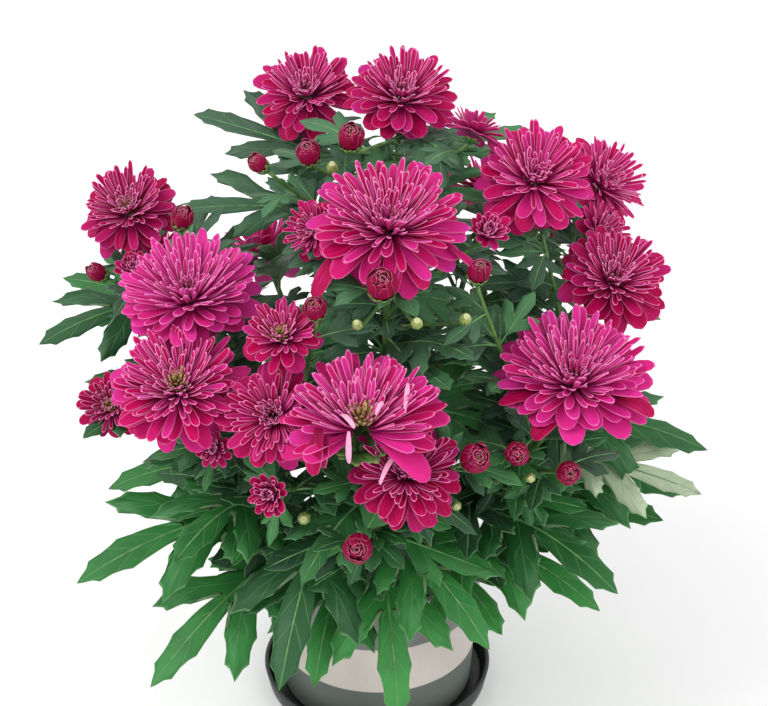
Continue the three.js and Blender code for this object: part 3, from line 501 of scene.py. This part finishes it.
def pot_material():
    """Satin glaze in three zones, their edges a little uneven."""
    finish = Finish("pot_glaze", Roughness=0.42)
    wander = finish.level() + (finish.noise(60.0, 2.0) - 0.5) * 0.0006
    cloud = finish.fade(finish.noise(26.0, 4.0), 0.3, 0.7)
    grain = finish.noise(900.0, 3.0)
    grey = finish.mixed(cloud, (98, 106, 100), (108, 115, 109))
    cream = finish.mixed(cloud, (206, 197, 190), (216, 208, 201))
    mauve = finish.mixed(cloud, (112, 114, 112), (122, 122, 121))
    above = {name: finish.fade(wander, edge * MM - 0.0003, edge * MM + 0.0003)
             for name, edge in POT_BANDS.items()}
    body = finish.mixed(above["cream"], grey, cream)
    body = finish.mixed(above["mauve"], body, mauve)
    body = finish.mixed(finish.fade(grain, 0.6, 0.75) * 0.12, body, (70, 74, 70))
    rough = 0.36 + cloud * 0.12
    return finish.surface(Base_Color=body, Roughness=rough, Normal=finish.bump(grain, 0.0001, 0.4))


def saucer_material():
    finish = Finish("saucer_black", Roughness=0.4)
    grain = finish.noise(1400.0, 2.0)
    dust = finish.fade(finish.noise(30.0, 5.0), 0.5, 0.8) * 0.25
    body = finish.mixed(dust, (27, 30, 29), (60, 62, 60))
    rough = 0.36 + dust * 0.6
    return finish.surface(Base_Color=body, Roughness=rough, Normal=finish.bump(grain, 0.0001, 0.3))


def soil_material():
    finish = Finish("soil_crumbs", Roughness=0.95)
    crumbs = finish.noise(420.0, 5.0)
    body = finish.mixed(finish.fade(crumbs, 0.35, 0.7), (38, 28, 21), (78, 60, 44))
    body = finish.mixed(finish.fade(finish.noise(1100.0, 2.0), 0.7, 0.78), body, (150, 140, 120))
    return finish.surface(Base_Color=body, Normal=finish.bump(crumbs, 0.003, 0.9))


def floor_material():
    finish = Finish("floor_white", Roughness=0.6)
    body = finish.mixed(finish.noise(2.0, 2.0), (246, 246, 247), (250, 250, 250))
    return finish.surface(Base_Color=body)


PETAL_FACE = petal_material("petal_face", (104, 0, 28), (182, 0, 74), (214, 50, 146), (250, 160, 212), 0.85)
PETAL_BACK = petal_material("petal_reverse", (140, 4, 62), (196, 40, 120), (220, 92, 176),
                            (246, 164, 214), 0.5)
LOOSE_PETAL = petal_material("loose_petal", (150, 30, 110), (172, 44, 146), (240, 168, 200),
                             (248, 200, 220), 0.5)
BUD_FACE = petal_material("bud_petal", (78, 0, 26), (128, 4, 50), (160, 20, 84), (236, 150, 176), 0.9)
BUD_BACK = petal_material("bud_petal_outside", (104, 8, 38), (138, 4, 54), (176, 28, 96),
                          (228, 120, 160), 0.8)
LEAF_FACE = leaf_material("leaf_face", (14, 60, 30), (58, 150, 64), (196, 212, 180), (120, 172, 112),
                          0.28, -0.8)
LEAF_BACK = leaf_material("leaf_underside", (96, 128, 90), (124, 156, 112), (190, 206, 158),
                          (170, 192, 150), 0.6, 0.9)
SCALE = scale_material("bract_green", (40, 92, 40), (84, 134, 62), (150, 170, 96))
BUD_SCALE = scale_material("bud_bract_pale", (120, 146, 72), (176, 190, 116), (226, 226, 176))
STALK_GREEN = stalk_material("stalk_green", (62, 104, 48), (104, 142, 74), 0.55)
MIDRIB = stalk_material("midrib_pale", (74, 132, 76), (116, 164, 100), 0)
EYE = eye_material()


def add_object(name, bm, materials):
    """A finished mesh as an object of the scene."""
    mesh = bpy.data.meshes.new(name)
    bm.to_mesh(mesh)
    bm.free()
    for material in materials:
        mesh.materials.append(material)
    made = bpy.data.objects.new(name, mesh)
    bpy.context.scene.collection.objects.link(made)
    return made


class Piece:
    """A mesh in the making: petals and leaves are added to it one by one."""

    def __init__(self, uv_name, values):
        self.bm = bmesh.new()
        self.bm.loops.layers.uv.new(uv_name)
        self.uv = self.bm.loops.layers.uv.active
        self.values = {name: self.bm.verts.layers.float.new(name) for name in values}

    def grid(self, columns, rows, material, values):
        """A flat grid from -1 to 1, with its map and what its points carry."""
        verts = bmesh.ops.create_grid(self.bm, x_segments=columns, y_segments=rows, size=1)["verts"]
        for name, value in values.items():
            layer = self.values[name]
            for vert in verts:
                vert[layer] = value
        for face in {face for vert in verts for face in vert.link_faces}:
            face.material_index = material
            face.smooth = True
            for loop in face.loops:
                loop[self.uv].uv = ((loop.vert.co.x + 1) / 2, (loop.vert.co.y + 1) / 2)
        return verts

    def finish(self, name, node, slot, materials, thickness=0.0):
        """The mesh as the piece that stands in for a node, its leaves and petals given a thickness."""
        piece = add_object(name, self.bm, materials)
        if thickness:
            shell = piece.modifiers.new("thickness", "SOLIDIFY")
            shell.thickness = thickness
            shell.offset = -1
            shell.material_offset = 1
        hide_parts(node)
        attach(piece, "root")


def facing_of(flower):
    toward, lean = radians(flower.toward), radians(flower.lean)
    return Vector((sin(toward) * sin(lean), -cos(toward) * sin(lean),
                   cos(lean)))


def home_of(flower):
    """The frame of a flower: its Z is the way that it faces, and its origin is its base."""
    facing = facing_of(flower)
    sideways = Vector((0, 0, 1)).cross(facing).normalized()
    home = Matrix((sideways, facing.cross(sideways), facing)).transposed().to_4x4()
    home.translation = Vector(flower.base) * MM
    return home


def add_petal(piece, home, values, turn, root, rise, reach, width, channel, twist=0.0, sway=0.0,
              columns=4, rows=6, claw=0.35, tip=0.3, broadest=0.72, material=0):
    """Adds a petal: root is its (radius, height), rise the angles at which its line starts and ends,
    and channel the angle that its cross-section bends through, all about the flower's axis."""
    path = []
    place = Vector(root)
    before = 0.0
    for row in range(rows + 1):
        share = 1 - (1 - row / rows) ** 1.5
        angle = between(rise[0], rise[1], share)
        place = place + Vector((cos(angle), sin(angle))) * (share - before) * reach
        before = share
        if share < broadest:
            breadth = between(claw, 1, sin(share / broadest * pi / 2))
        else:
            past = (share - broadest) / (1 - broadest)
            breadth = between(tip, 1, sqrt(max(0.0, 1 - past * past)))
        path.append((place, angle, breadth, share))
    outward = Vector((cos(turn), sin(turn), 0))
    aside = Vector((-sin(turn), cos(turn), 0))
    axis = Vector((0, 0, 1))
    for vert in piece.grid(columns, rows, material, values):
        place, angle, breadth, share = path[round((vert.co.y + 1) / 2 * rows)]
        bend = channel * between(0.7, 1.0, share) * (1 - 0.45 * max(0.0, share - 0.7) / 0.3)
        half = width / 2 * breadth
        turned = -vert.co.x * bend / 2
        if bend > 0.05:
            radius = half * 2 / bend
            out, lift = sin(turned) * radius, (1 - cos(turned)) * radius
        else:
            out, lift = -vert.co.x * half, 0.0
        roll = twist * share
        out, lift = (out * cos(roll) - lift * sin(roll),
                     out * sin(roll) + lift * cos(roll))
        out += sway * share * share
        up = axis * cos(angle) - outward * sin(angle)
        spot = outward * place.x + axis * place.y + aside * out + up * lift
        vert.co = home @ spot


def build_bloom(index, flower, name):
    """One flower head: broad petals outside that hang a little in front, and ring upon ring of
    channelled ones, each shorter and steeper, round its eye."""
    radius = flower.width / 2 * MM
    home = home_of(flower)
    droop = DROOP * HANG.get(index, USUAL_HANG)
    piece = Piece("petal", ("tone", "ring", "tint", "eye"))
    chosen, kept, lift = next(row[1:] for row in RING_CHOICES if flower.width >= row[0])
    for ring in chosen:
        petals, rise, reach, width, channel = RINGS[ring]
        inward = ring / (len(RINGS) - 1)
        count = round(petals * kept)
        root = [between(*PETAL[part], inward) * radius for part in ("radius", "height")]
        for i in range(count):
            seed = 5000 + index * 977 + ring * 41 + i
            turn = 2 * pi * (i + 0.5 * (draw(seed, 3) - 0.5)) / count + ring * SPIRAL
            front = (degrees(turn) + 90 + 180) % 360 - 180
            if abs(front) < flower.bare:
                continue
            low = max(0.0, -(home.to_3x3() @ Vector((cos(turn), sin(turn), 0))).z)
            hang = droop * low**0.5 * (1 - inward) ** 3 * between(*SPREAD["hang"], draw(seed, 10))
            angle = rise + lift + SPREAD["rise"] * (draw(seed, 1) - 0.5) - hang
            curve = between(*PETAL["curve"], min(inward * 2, 1)) + SPREAD["curve"] * (draw(seed, 4) - 0.5)
            slim = between(*SPREAD["width"], draw(seed, 6))
            values = {"tone": draw(seed, 5), "ring": min(inward * 1.5, 1), "tint": flower.tint,
                      "eye": flower.eye}
            add_petal(
                piece, home, values, turn, root,
                (radians(angle - curve * 0.5), radians(angle + curve * 0.5)),
                reach * radius * between(*SPREAD["reach"], draw(seed, 2)), width / kept * radius * slim,
                radians(channel * between(*SPREAD["channel"], draw(seed, 9))),
                twist=radians(SPREAD["twist"] * (draw(seed, 7) - 0.5)) * min(1, inward + 0.3),
                sway=SPREAD["sway"] * radius * (draw(seed, 8) - 0.5),
                claw=between(*PETAL["claw"], inward),
                tip=between(*PETAL["tip"], (inward + draw(seed, 11)) / 2),
                broadest=between(*PETAL["broadest"], min(inward * 2, 1)),
                columns=4 if ring < 4 else 2, rows=6 if ring < 6 else 4,
            )
    values = {"tone": 0.5, "ring": 1.0, "tint": flower.tint, "eye": flower.eye}
    height = between(*EYE_HEIGHT, min(1, flower.eye * 8)) * radius
    add_florets(piece, home, radius, height, values, EYE_FLORETS, index)
    add_loose(piece, index)
    piece.finish(name + "_petals", name, "petals",
                 [PETAL_FACE, PETAL_BACK, EYE, EYE, LOOSE_PETAL, LOOSE_PETAL], 0.35 * MM)


def add_loose(piece, index):
    """The loose petals that droop from, hang from or lie on a bloom."""
    for place, turn, tilt, length, width, curl, pale in LOOSE.get(index, ()):
        values = {"tone": 0.4 + pale * 0.5, "ring": pale, "tint": pale, "eye": 0}
        home = Matrix.Translation(Vector(place) * MM) @ Matrix.Rotation(radians(turn), 4, "Z")
        start, end = radians(tilt + curl / 2), radians(tilt - curl / 2)
        add_petal(piece, home, values, 0, (0, 0), (start, end), length * MM, width * MM,
                  radians(between(40, 110, pale)), twist=0.5 * pale, claw=0.4, tip=0.15,
                  broadest=0.6, material=4 if pale > 0.5 else 0)


def add_florets(piece, home, radius, height, values, florets, index):
    """The florets that have not opened, packed into a disc in a flower's middle."""
    count, last, reach, longest, width, rise, less, tip, first = florets
    for i in range(count):
        out = last * sqrt(i / count)
        add_petal(
            piece, home, values, i * SPIRAL, (out * radius, height), (rise[0], rise[1] - less * out),
            reach * radius * between(0.7, longest, draw(index * first + i, 9)), width * radius, 1.5,
            columns=2, rows=2, claw=0.8, tip=tip, material=2,
        )


def build_bud(index, flower, name):
    """A bud that shows its colour: rings of short petals lapped round its florets."""
    radius = flower.width / 2 * MM
    home = home_of(flower)
    piece = Piece("petal", ("tone", "ring", "tint", "eye"))
    for ring, (petals, root, rise, reach) in enumerate(BUD_RINGS):
        for i in range(petals):
            seed = 9000 + index * 311 + ring * 29 + i
            values = {"tone": draw(seed, 5) * 0.8, "ring": 0.3 + ring * 0.25, "tint": 0,
                      "eye": flower.eye}
            add_petal(
                piece, home, values, 2 * pi * (i + 0.5 * ring + 0.3 * draw(seed, 4)) / petals,
                (root[0] * radius, root[1] * radius),
                (radians(rise[0]), radians(rise[1] + 12 * (draw(seed, 1) - 0.5))),
                radius * reach * between(0.84, 1.06, draw(seed, 2)), radius * 0.56, radians(90),
                sway=0.1 * radius * (draw(seed, 3) - 0.5), claw=0.7, tip=0.25, broadest=0.6,
            )
    values = {"tone": 0.5, "ring": 1.0, "tint": 0, "eye": BUD_EYE["green"]}
    add_florets(piece, home, radius, BUD_EYE["height"] * radius, values, BUD_FLORETS, index)
    piece.finish(name + "_petals", name, "petals", [BUD_FACE, BUD_BACK, EYE, EYE], 0.3 * MM)


def cup_radius(flower):
    return max(flower.width * (0.13 if flower.width > RIPE_BUD else 0.3), 1.8) * MM


def stalk_end(flower):
    return Vector(flower.base) * MM - facing_of(flower) * (0.3 * MM + 0.7 * cup_radius(flower))


def cubic(points, share):
    """A point on a cubic Bezier curve, and the way along it."""
    a, b, c, d = points
    rest = 1 - share
    place = a * rest**3 + b * 3 * rest**2 * share + c * 3 * rest * share**2 + d * share**3
    way = (b - a) * rest**2 + (c - b) * 2 * rest * share + (d - c) * share**2
    return place, way.normalized()


def quadratic(points, share):
    a, b, c = points
    rest = 1 - share
    place = a * rest**2 + b * 2 * rest * share + c * share**2
    return place, ((b - a) * rest + (c - b) * share).normalized()


def add_tube(bm, curve, points, stations, radii, sides, material):
    """A tube along a curve: a circle at its start, extruded from station to station."""
    start, way = curve(points, stations[0])
    place = Matrix.Translation(start) @ way.to_track_quat("Z", "Y").to_matrix().to_4x4()
    ring = bmesh.ops.create_circle(bm, segments=sides, radius=radii[0], matrix=place)["verts"]
    edges = list({edge for vert in ring for edge in vert.link_edges})
    centre = start
    made = []
    for station, radius in zip(stations[1:], radii[1:]):
        grown = bmesh.ops.extrude_edge_only(bm, edges=edges)["geom"]
        ring = [item for item in grown if isinstance(item, bmesh.types.BMVert)]
        edges = [item for item in grown if isinstance(item, bmesh.types.BMEdge)]
        made += [item for item in grown if isinstance(item, bmesh.types.BMFace)]
        new_centre, new_way = curve(points, station)
        turn = way.rotation_difference(new_way).to_matrix()
        before = (ring[0].co - centre).length
        for vert in ring:
            vert.co = new_centre + turn @ (vert.co - centre) * (radius / before)
        centre, way = new_centre, new_way
    made += bmesh.ops.contextual_create(bm, geom=edges)["faces"]
    for face in made:
        face.material_index = material
        face.smooth = True


def stem_points(number):
    """The curve of a stem, up to the flower that tops it."""
    top = next(f for f in BLOOMS + BUDS if f.stem == number and f.height == 1)
    root = STEM_ROOTS[number - 1]
    start = Vector((*root, STEM["depth"])) * MM
    rise = start + Vector((0, 0, STEM["lift"])) * MM
    end = stalk_end(top)
    return start, rise, end - facing_of(top) * STEM["reach"] * MM, end


def stalk_points(number, flower):
    start, way = cubic(stem_points(number), flower.height)
    end = stalk_end(flower)
    return (start, start + way * STALK["lift"] * MM, end - facing_of(flower) * STALK["reach"] * MM,
            end)


def leaf_rays(lobes, steps, tooth):
    """Half a leaf's blade as rays from its midrib to its rim: where the ray starts on the midrib, and how
    far along and aside it ends. Each lobe is rounded, with a blunt tooth at every third step."""
    rays = [(0.18, 0.18, 0.012)]
    for first, last, foot, tip, half, ends in lobes:
        way = Vector((tip[0] - foot, tip[1]))
        length = way.length
        way.normalize()
        count = 2 * steps if tip[1] else steps
        for i in range(count + 1):
            off = (i - steps) / steps
            share = abs(off)
            nick = tooth * cos(share * pi * steps * 2 / 3) * (1 - share**4)
            out = length * (1 - (1 - ends[0 if off < 0 else 1]) * share**1.35) + nick
            wide = half * sin(min(1, share * 1.3) * pi / 2) * between(1, 0.72, share**4)
            wide = copysign(wide + nick * min(1, 3 * share), off) if share else 0
            rays.append((between(first, last, i / count), foot + way.x * out + way.y * wide,
                         way.y * out - way.x * wide))
    return rays


LARGE_RAYS = leaf_rays(LOBES, 9, 0.01)
SMALL_RAYS = leaf_rays(SMALL_LOBES, 6, 0.009)


def add_leaf(piece, leaf):
    """A leaf: its rays laid out to both sides of an arched spine. Gives back the spine."""
    root, seed = leaf["root"], leaf["seed"]
    span = leaf["tip"] - root
    facing = leaf.get("facing", Vector((0, 0, 1)))
    across = facing.cross(span).normalized()
    if "facing" not in leaf:
        heading = Vector((span.x, span.y, 0)).normalized()
        across.rotate(Matrix.Rotation(radians(LEAF_ROLL) * heading.x, 3, heading))
    spine = (root, root + span * 0.45 + facing * leaf["arch"], leaf["tip"])
    fold = 0.55 * draw(seed, 4) - 0.25
    phase = 6.3 * draw(seed, 13)
    half = leaf["width"] / 2
    blade = min(1, leaf["width"] / (SLIMMEST_LEAF * span.length))
    rays, columns = (SMALL_RAYS, 4) if "facing" in leaf else (LARGE_RAYS, 6)
    rows = len(rays) - 1
    lay = {side: between(0.88, 1.08, draw(seed, 12 + side)) for side in (-1, 1)}
    verts = piece.grid(columns, rows, 0, {"tone": leaf["tone"]})
    places = {}
    for vert in verts:
        vert[piece.values["rim"]] = abs(vert.co.x)
        base, far, out = rays[round((vert.co.y + 1) / 2 * rows)]
        side = 1 if vert.co.x < 0 else -1
        share = abs(vert.co.x)
        along = between(base, far, share**1.15)
        aside = out / LEAF_REACH * share * lay[side]
        places[vert] = (side * aside, along)
        place, way = quadratic(spine, min(1 - (1 - along) * blade, 1))
        up = way.cross(across)
        ripple = 0.06 * sin(along * 15 + side * 1.3 + phase)
        lobes = 0.05 * cos((along - 0.6) * 22)
        lift = aside * (fold + ripple + lobes - 0.12 * aside) * half
        vert.co = place + across * (side * aside * half) + up * lift
    for face in {face for vert in verts for face in vert.link_faces}:
        for loop in face.loops:
            aside, along = places[loop.vert]
            loop[piece.uv].uv = (0.5 + aside / 2, along)
    return spine


def leaves_of(number):
    """The large leaves of a stem and those that follow the rule."""
    curve = stem_points(number)
    found = []
    for k, (stem, height, tip, width, arch, tone) in enumerate(LARGE_LEAVES):
        if stem == number:
            found.append({"root": cubic(curve, height)[0], "tip": Vector(tip) * MM,
                          "width": width * MM, "arch": arch * MM, "tone": tone, "seed": k})
    for j in range(RULED["per_stem"]):
        k = (number - 1) * RULED["per_stem"] + j
        height = RULED["lowest"] + RULED["spacing"] * j
        root = cubic(curve, height)[0]
        outward = atan2(root.y, root.x)
        heading = outward + radians(70 * (1 if k % 2 else -1) + 50 * (draw(k, 5) - 0.5))
        shrink = 1 - RULED["shorter"] * (height - RULED["lowest"])
        reach = RULED["length"] * shrink * (0.85 + 0.3 * draw(k, 6)) * MM
        span = Vector((reach * cos(heading), reach * sin(heading),
                       (4 - 26 * draw(k, 7)) * MM))
        turn, raised, size = BENT.get(k, (0, 0, 1))
        span.rotate(Matrix.Rotation(radians(turn), 3, "Z"))
        tip = root + span * size + Vector((0, 0, raised * MM))
        found.append({"root": root, "tip": tip, "width": reach * 0.6 * size,
                      "arch": RULED["arch"] * size * MM, "tone": 0.5 * draw(k, 8),
                      "seed": len(LARGE_LEAVES) + k})
    return found


def twigs():
    """Points along the upper stems and the stalks, where small leaves grow, with their stem's number."""
    found = []
    for number in range(1, len(STEM_ROOTS) + 1):
        curve = stem_points(number)
        found += [(number, cubic(curve, 0.34 + 0.04 * j)[0]) for j in range(16)]
    for flower in BLOOMS + BUDS:
        if flower.height < 1:
            stalk = stalk_points(flower.stem, flower)
            found += [(flower.stem, cubic(stalk, 0.15 * j)[0]) for j in range(1, 6)]
    return found


def crown_leaves():
    """The small leaves that fill the crown, for each stem: a spiral down each shell of the crown marks
    the tips, and each leaf grows from the nearest twig below."""
    centre, radii = Vector(CROWN["middle"]) * MM, Vector(CROWN["radii"]) * MM
    roots = twigs()
    heads = [(Vector(flower.base) * MM + facing_of(flower) * flower.width * 0.2 * MM,
              flower.width * 0.48 * MM) for flower in BLOOMS + BUDS]
    found = {number: [] for number in range(1, len(STEM_ROOTS) + 1)}
    for k, (shell, count) in enumerate(CROWN_SHELLS):
        for i in range(count):
            seed = 2000 + k * 500 + i
            height = between(1, CROWN["lowest"], (i + 0.5) / count)
            turn = i * SPIRAL + k
            ring = sqrt(1 - height * height)
            way = Vector((ring * cos(turn), ring * sin(turn), height))
            size = shell * between(0.93, 1.07, draw(seed, 1))
            tip = centre + Matrix.Diagonal(radii) @ way * size
            number, root = min(roots, key=lambda twig: (tip - twig[1]).length
                               + max(0.0, twig[1].z - tip.z + 0.004))
            span = tip - root
            length = max(span.length, CROWN_LEAF["least"] * MM)
            if length > CROWN_LEAF["most"] * MM:
                continue
            tip = root + span.normalized() * length
            if any((tip - middle).length < reach for middle, reach in heads):
                continue
            found[number].append({
                "root": root, "tip": tip, "arch": 0.16 * length, "seed": seed,
                "width": min(CROWN_LEAF["width"] * length, CROWN_LEAF["widest"] * MM),
                # Painted shade: leaves on the inner shells get a lower, darker tone, for the shade deep
                # inside the crown
                "tone": 0.55 * draw(seed, 8) * shell * shell,
                "facing": (way + Vector((0, 0, 0.8)) + Vector((
                    draw(seed, 2) - 0.5, draw(seed, 3) - 0.5, 0)) * 0.9).normalized(),
            })
    add_stalk_leaves(found, heads)
    return found


def add_stalk_leaves(found, heads):
    """Adds the few small leaves on each flower's own stalk to those of its stem."""
    for k, flower in enumerate(BLOOMS + BUDS):
        if flower.height == 1:
            continue
        stalk = stalk_points(flower.stem, flower)
        for i, share in enumerate(STALK_LEAVES):
            seed = 4600 + k * 5 + i
            root = cubic(stalk, share)[0]
            turn = SPIRAL * (k + i) + draw(seed, 1)
            length = between(*STALK_LEAF, draw(seed, 2)) * MM
            way = Vector((cos(turn), sin(turn), 0.5 * draw(seed, 3) - 0.1))
            tip = root + way * length
            if any((tip - middle).length < reach for middle, reach in heads):
                continue
            found[flower.stem].append({
                "root": root, "tip": tip, "arch": 0.2 * length, "seed": seed, "width": 0.8 * length,
                "tone": 0.5 * draw(seed, 8), "facing": Vector((0, -0.25, 1)).normalized(),
            })


def add_scales(piece, flower, seed, rings):
    """The green scales of a flower's cup."""
    home = home_of(flower)
    cup = cup_radius(flower)
    for ring, (count, root, rise, reach, width) in enumerate(rings):
        for i in range(count):
            tone = draw(seed + i, 20 + ring)
            add_petal(
                piece, home, {"tone": tone}, 2 * pi * (i + 0.5 * ring) / count,
                (root[0] * cup, root[1] * cup),
                (radians(rise[0]), radians(rise[1] + 14 * (tone - 0.5))),
                reach * cup * between(0.88, 1.1, tone), width * cup, radians(40),
                columns=2, rows=4, claw=0.8, tip=0.15, broadest=0.4, material=2,
            )


def add_green_bud(piece, flower, seed):
    """A tight green bud, its scales wrapped over it."""
    home = home_of(flower)
    ball = flower.width / 2 * MM
    each = GREEN_SCALES["each"]
    for ring in range(GREEN_SCALES["rings"]):
        for i in range(each):
            add_petal(
                piece, home, {"tone": draw(seed + ring * 9 + i, 1)}, 2 * pi * (i + 0.5 * ring) / each,
                (0.3 * ball * (1 - 0.2 * ring), (-0.9 + 0.25 * ring) * ball),
                [radians(angle) for angle in GREEN_SCALES["rise"]], ball * (2.5 - 0.35 * ring),
                ball * 0.9, radians(50), columns=2, rows=5, claw=0.7, tip=0.3, broadest=0.5,
                material=4,
            )


def add_stalk(bm, points, ends, shape):
    """A stem or a stalk, which tapers from the first of its ends' radii to the second."""
    stations = [i / shape["steps"] for i in range(shape["steps"] + 1)]
    radii = [between(*ends, s) * MM for s in stations]
    add_tube(bm, cubic, points, stations, radii, shape["sides"], 0)


def build_stem(number, crown):
    """A stem with its stalks in one piece, its leaves in another, and its scales and tight buds in a
    third."""
    name = "stem_%d" % number
    node = "leafy_" + name
    leaves = Piece("leaf", ("tone", "rim"))
    stalks = Piece("leaf", ("tone",))
    cups = Piece("petal", ("tone",))
    thick = STEM["radius"]
    add_stalk(stalks.bm, stem_points(number), (thick * 1.15, thick * 0.75), STEM)
    for k, flower in enumerate(BLOOMS + BUDS + GREEN_BUDS):
        if flower.stem != number:
            continue
        green = k >= len(BLOOMS) + len(BUDS)
        if flower.height < 1:
            thick = STALK["radius"] * (STALK["green"] if green else 1.0)
            add_stalk(stalks.bm, stalk_points(number, flower), (thick, thick * 0.85), STALK)
        if green:
            add_green_bud(cups, flower, 700 + k * 50)
        else:
            add_scales(cups, flower, k * 40, FLOWER_SCALES if flower.width > RIPE_BUD else BUD_SCALES)
    for leaf in leaves_of(number) + crown[number]:
        spine = add_leaf(leaves, leaf)
        count = 5 if "facing" in leaf else 10
        steps = [i * 0.9 / count for i in range(count + 1)]
        size = min(leaf["width"] / 60, MM)
        radii = [between(1.3, 0.3, s / 0.9) * size for s in steps]
        add_tube(stalks.bm, quadratic, spine, steps, radii, 6, 1)
    leaves.finish(name + "_leaves", node, "foliage", [LEAF_FACE, LEAF_BACK], 0.3 * MM)
    cups.finish(name + "_scales", node, "foliage",
                [PETAL_FACE, PETAL_BACK, SCALE, SCALE, BUD_SCALE, BUD_SCALE], 0.25 * MM)
    stalks.finish(name + "_stalks", node, "foliage", [STALK_GREEN, MIDRIB])


def turned_piece(name, node, profile, material):
    """A round piece: its profile spun once round the pot's axis."""
    bm = bmesh.new()
    corners = [bm.verts.new((radius * MM, 0, height * MM)) for radius, height in profile]
    edges = [bm.edges.new(pair) for pair in zip(corners, corners[1:])]
    bmesh.ops.spin(bm, geom=corners + edges, cent=(0, 0, 0), axis=(0, 0, 1), angle=2 * pi,
                   steps=ROUND_STEPS, use_merge=True, use_duplicate=False)
    bmesh.ops.remove_doubles(bm, verts=bm.verts, dist=0.01 * MM)
    bmesh.ops.recalc_face_normals(bm, faces=bm.faces)
    for face in bm.faces:
        face.smooth = True
    piece = add_object(name, bm, [material])
    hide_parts(node)
    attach(piece, "root")
    return piece


def rounded(profile, corners, steps=4):
    """A profile with some of its corners rounded: corners maps a corner's number to its radius."""
    result = []
    for i, point in enumerate(profile):
        radius = corners.get(i)
        if not radius:
            result.append(point)
            continue
        here = Vector(point)
        before = (Vector(profile[i - 1]) - here).normalized()
        after = (Vector(profile[(i + 1) % len(profile)]) - here).normalized()
        for step in range(steps + 1):
            share = step / steps
            rest = 1 - share
            result.append(tuple(here + before * radius * rest**2 + after * radius * share**2))
    return result


def build_saucer():
    height, rim, foot = SAUCER["height"], SAUCER["rim"], SAUCER["foot"]
    wall, floor = SAUCER["wall"], SAUCER["floor"]
    profile = [(0, 0), (foot, 0), (rim, height - 0.6), (rim - 0.5, height), (rim - wall, height),
               (foot - wall, floor), (0, floor)]
    smooth = rounded(profile, {1: 1.2, 3: 0.5, 4: 0.7, 5: 2.0})
    turned_piece("saucer_dish", "saucer", smooth, saucer_material())


def build_pot():
    top, bottom, rim, foot = POT["top"], POT["bottom"], POT["rim"], POT["foot"]
    wall, floor, drain = POT["wall"], POT["floor"], POT["drain"]
    profile = [(drain, bottom), (foot - 0.5, bottom), (rim, top - 0.4), (rim - 0.6, top),
               (rim - wall + 0.4, top), (rim - wall, top - 0.6), (foot - wall, bottom + floor),
               (drain, bottom + floor), (drain, bottom)]
    smooth = rounded(profile, {1: 1.5, 3: 0.9, 4: 0.9, 6: 3.0})
    turned_piece("pot_glazed", "pot", smooth, pot_material())


def build_soil():
    """The soil: a domed round with crumbs on it. The stems run down into it."""
    profile = [(0, SOIL["bottom"]), (SOIL["foot"], SOIL["bottom"]), (SOIL["rim"], SOIL["edge"] - 1)]
    rings = 16
    for i in range(rings + 1):
        share = i / rings
        profile.append((between(SOIL["rim"], 0, share),
                        between(SOIL["edge"], SOIL["crown"], sin(share * pi / 2))))
    piece = turned_piece("soil_heap", "soil", profile, soil_material())
    bm = bmesh.new()
    bm.from_mesh(piece.data)
    for vert in bm.verts:
        if vert.co.z > (SOIL["edge"] - 0.5) * MM:
            place = vert.co / MM
            rough = sin(place.x * 0.9 + 2) * sin(place.y * 1.1) * 0.5
            vert.co.z += (rough - 0.5) * MM
    for i in range(SOIL["crumbs"]):
        angle, out = 2 * pi * draw(i, 31), sqrt(draw(i, 32)) * 51
        size = between(0.5, 1.5, draw(i, 33) ** 2)
        height = between(SOIL["crown"], SOIL["edge"], (out / 52) ** 2) - 0.6
        place = Matrix.Translation(Vector((out * cos(angle), out * sin(angle), height)) * MM)
        squash = Matrix.Diagonal((1, between(0.6, 1, draw(i, 34)), 0.7, 1))
        spin = Matrix.Rotation(6.3 * draw(i, 35), 4, "Z")
        bmesh.ops.create_icosphere(bm, subdivisions=1, radius=size * MM, matrix=place @ spin @ squash)
    for face in bm.faces:
        face.smooth = True
    bm.to_mesh(piece.data)
    bm.free()


def build_stage():
    bm = bmesh.new()
    bmesh.ops.create_grid(bm, x_segments=2, y_segments=2, size=6)
    floor = add_object("floor", bm, [floor_material()])


def add_light(name, place, size, power):
    data = bpy.data.lights.new(name, "AREA")
    data.shape = "DISK"
    data.size = size
    data.energy = power
    lamp = bpy.data.objects.new(name, data)
    lamp.location = place
    lamp.rotation_euler = (Vector(AIM) - Vector(place)).to_track_quat("-Z", "Y").to_euler()
    bpy.context.scene.collection.objects.link(lamp)


def build_camera_and_lights():
    world = bpy.data.worlds.new("soft_white")
    world.use_nodes = True
    sky = world.node_tree.nodes["Background"]
    sky.inputs["Color"].default_value = (1, 1, 1, 1)
    sky.inputs["Strength"].default_value = SKY_STRENGTH
    bpy.context.scene.world = world
    for name, (place, size, power) in LIGHTS.items():
        add_light(name, place, size, power)
    bpy.context.scene.view_settings.view_transform = "Standard"
    data = bpy.data.cameras.new("photo_view")
    data.sensor_width = CAMERA["sensor"]
    data.lens = CAMERA["lens"]
    camera = bpy.data.objects.new("photo_view", data)
    camera.location = CAMERA["place"]
    camera.rotation_euler = (radians(90 - CAMERA["tilt"]), 0, 0)
    bpy.context.scene.collection.objects.link(camera)
    bpy.context.scene.camera = camera


build_camera_and_lights()
build_stage()
build_saucer()
build_pot()
build_soil()
crown = crown_leaves()
for number in range(1, len(STEM_ROOTS) + 1):
    build_stem(number, crown)
for index, flower in enumerate(BLOOMS):
    build_bloom(index, flower, "bloom_%d" % (index + 1))
for index, flower in enumerate(BUDS):
    name = "bud_%d" % (index + 1)
    if flower.width > RIPE_BUD:
        build_bloom(len(BLOOMS) + index, flower, name)
    else:
        build_bud(index, flower, name)
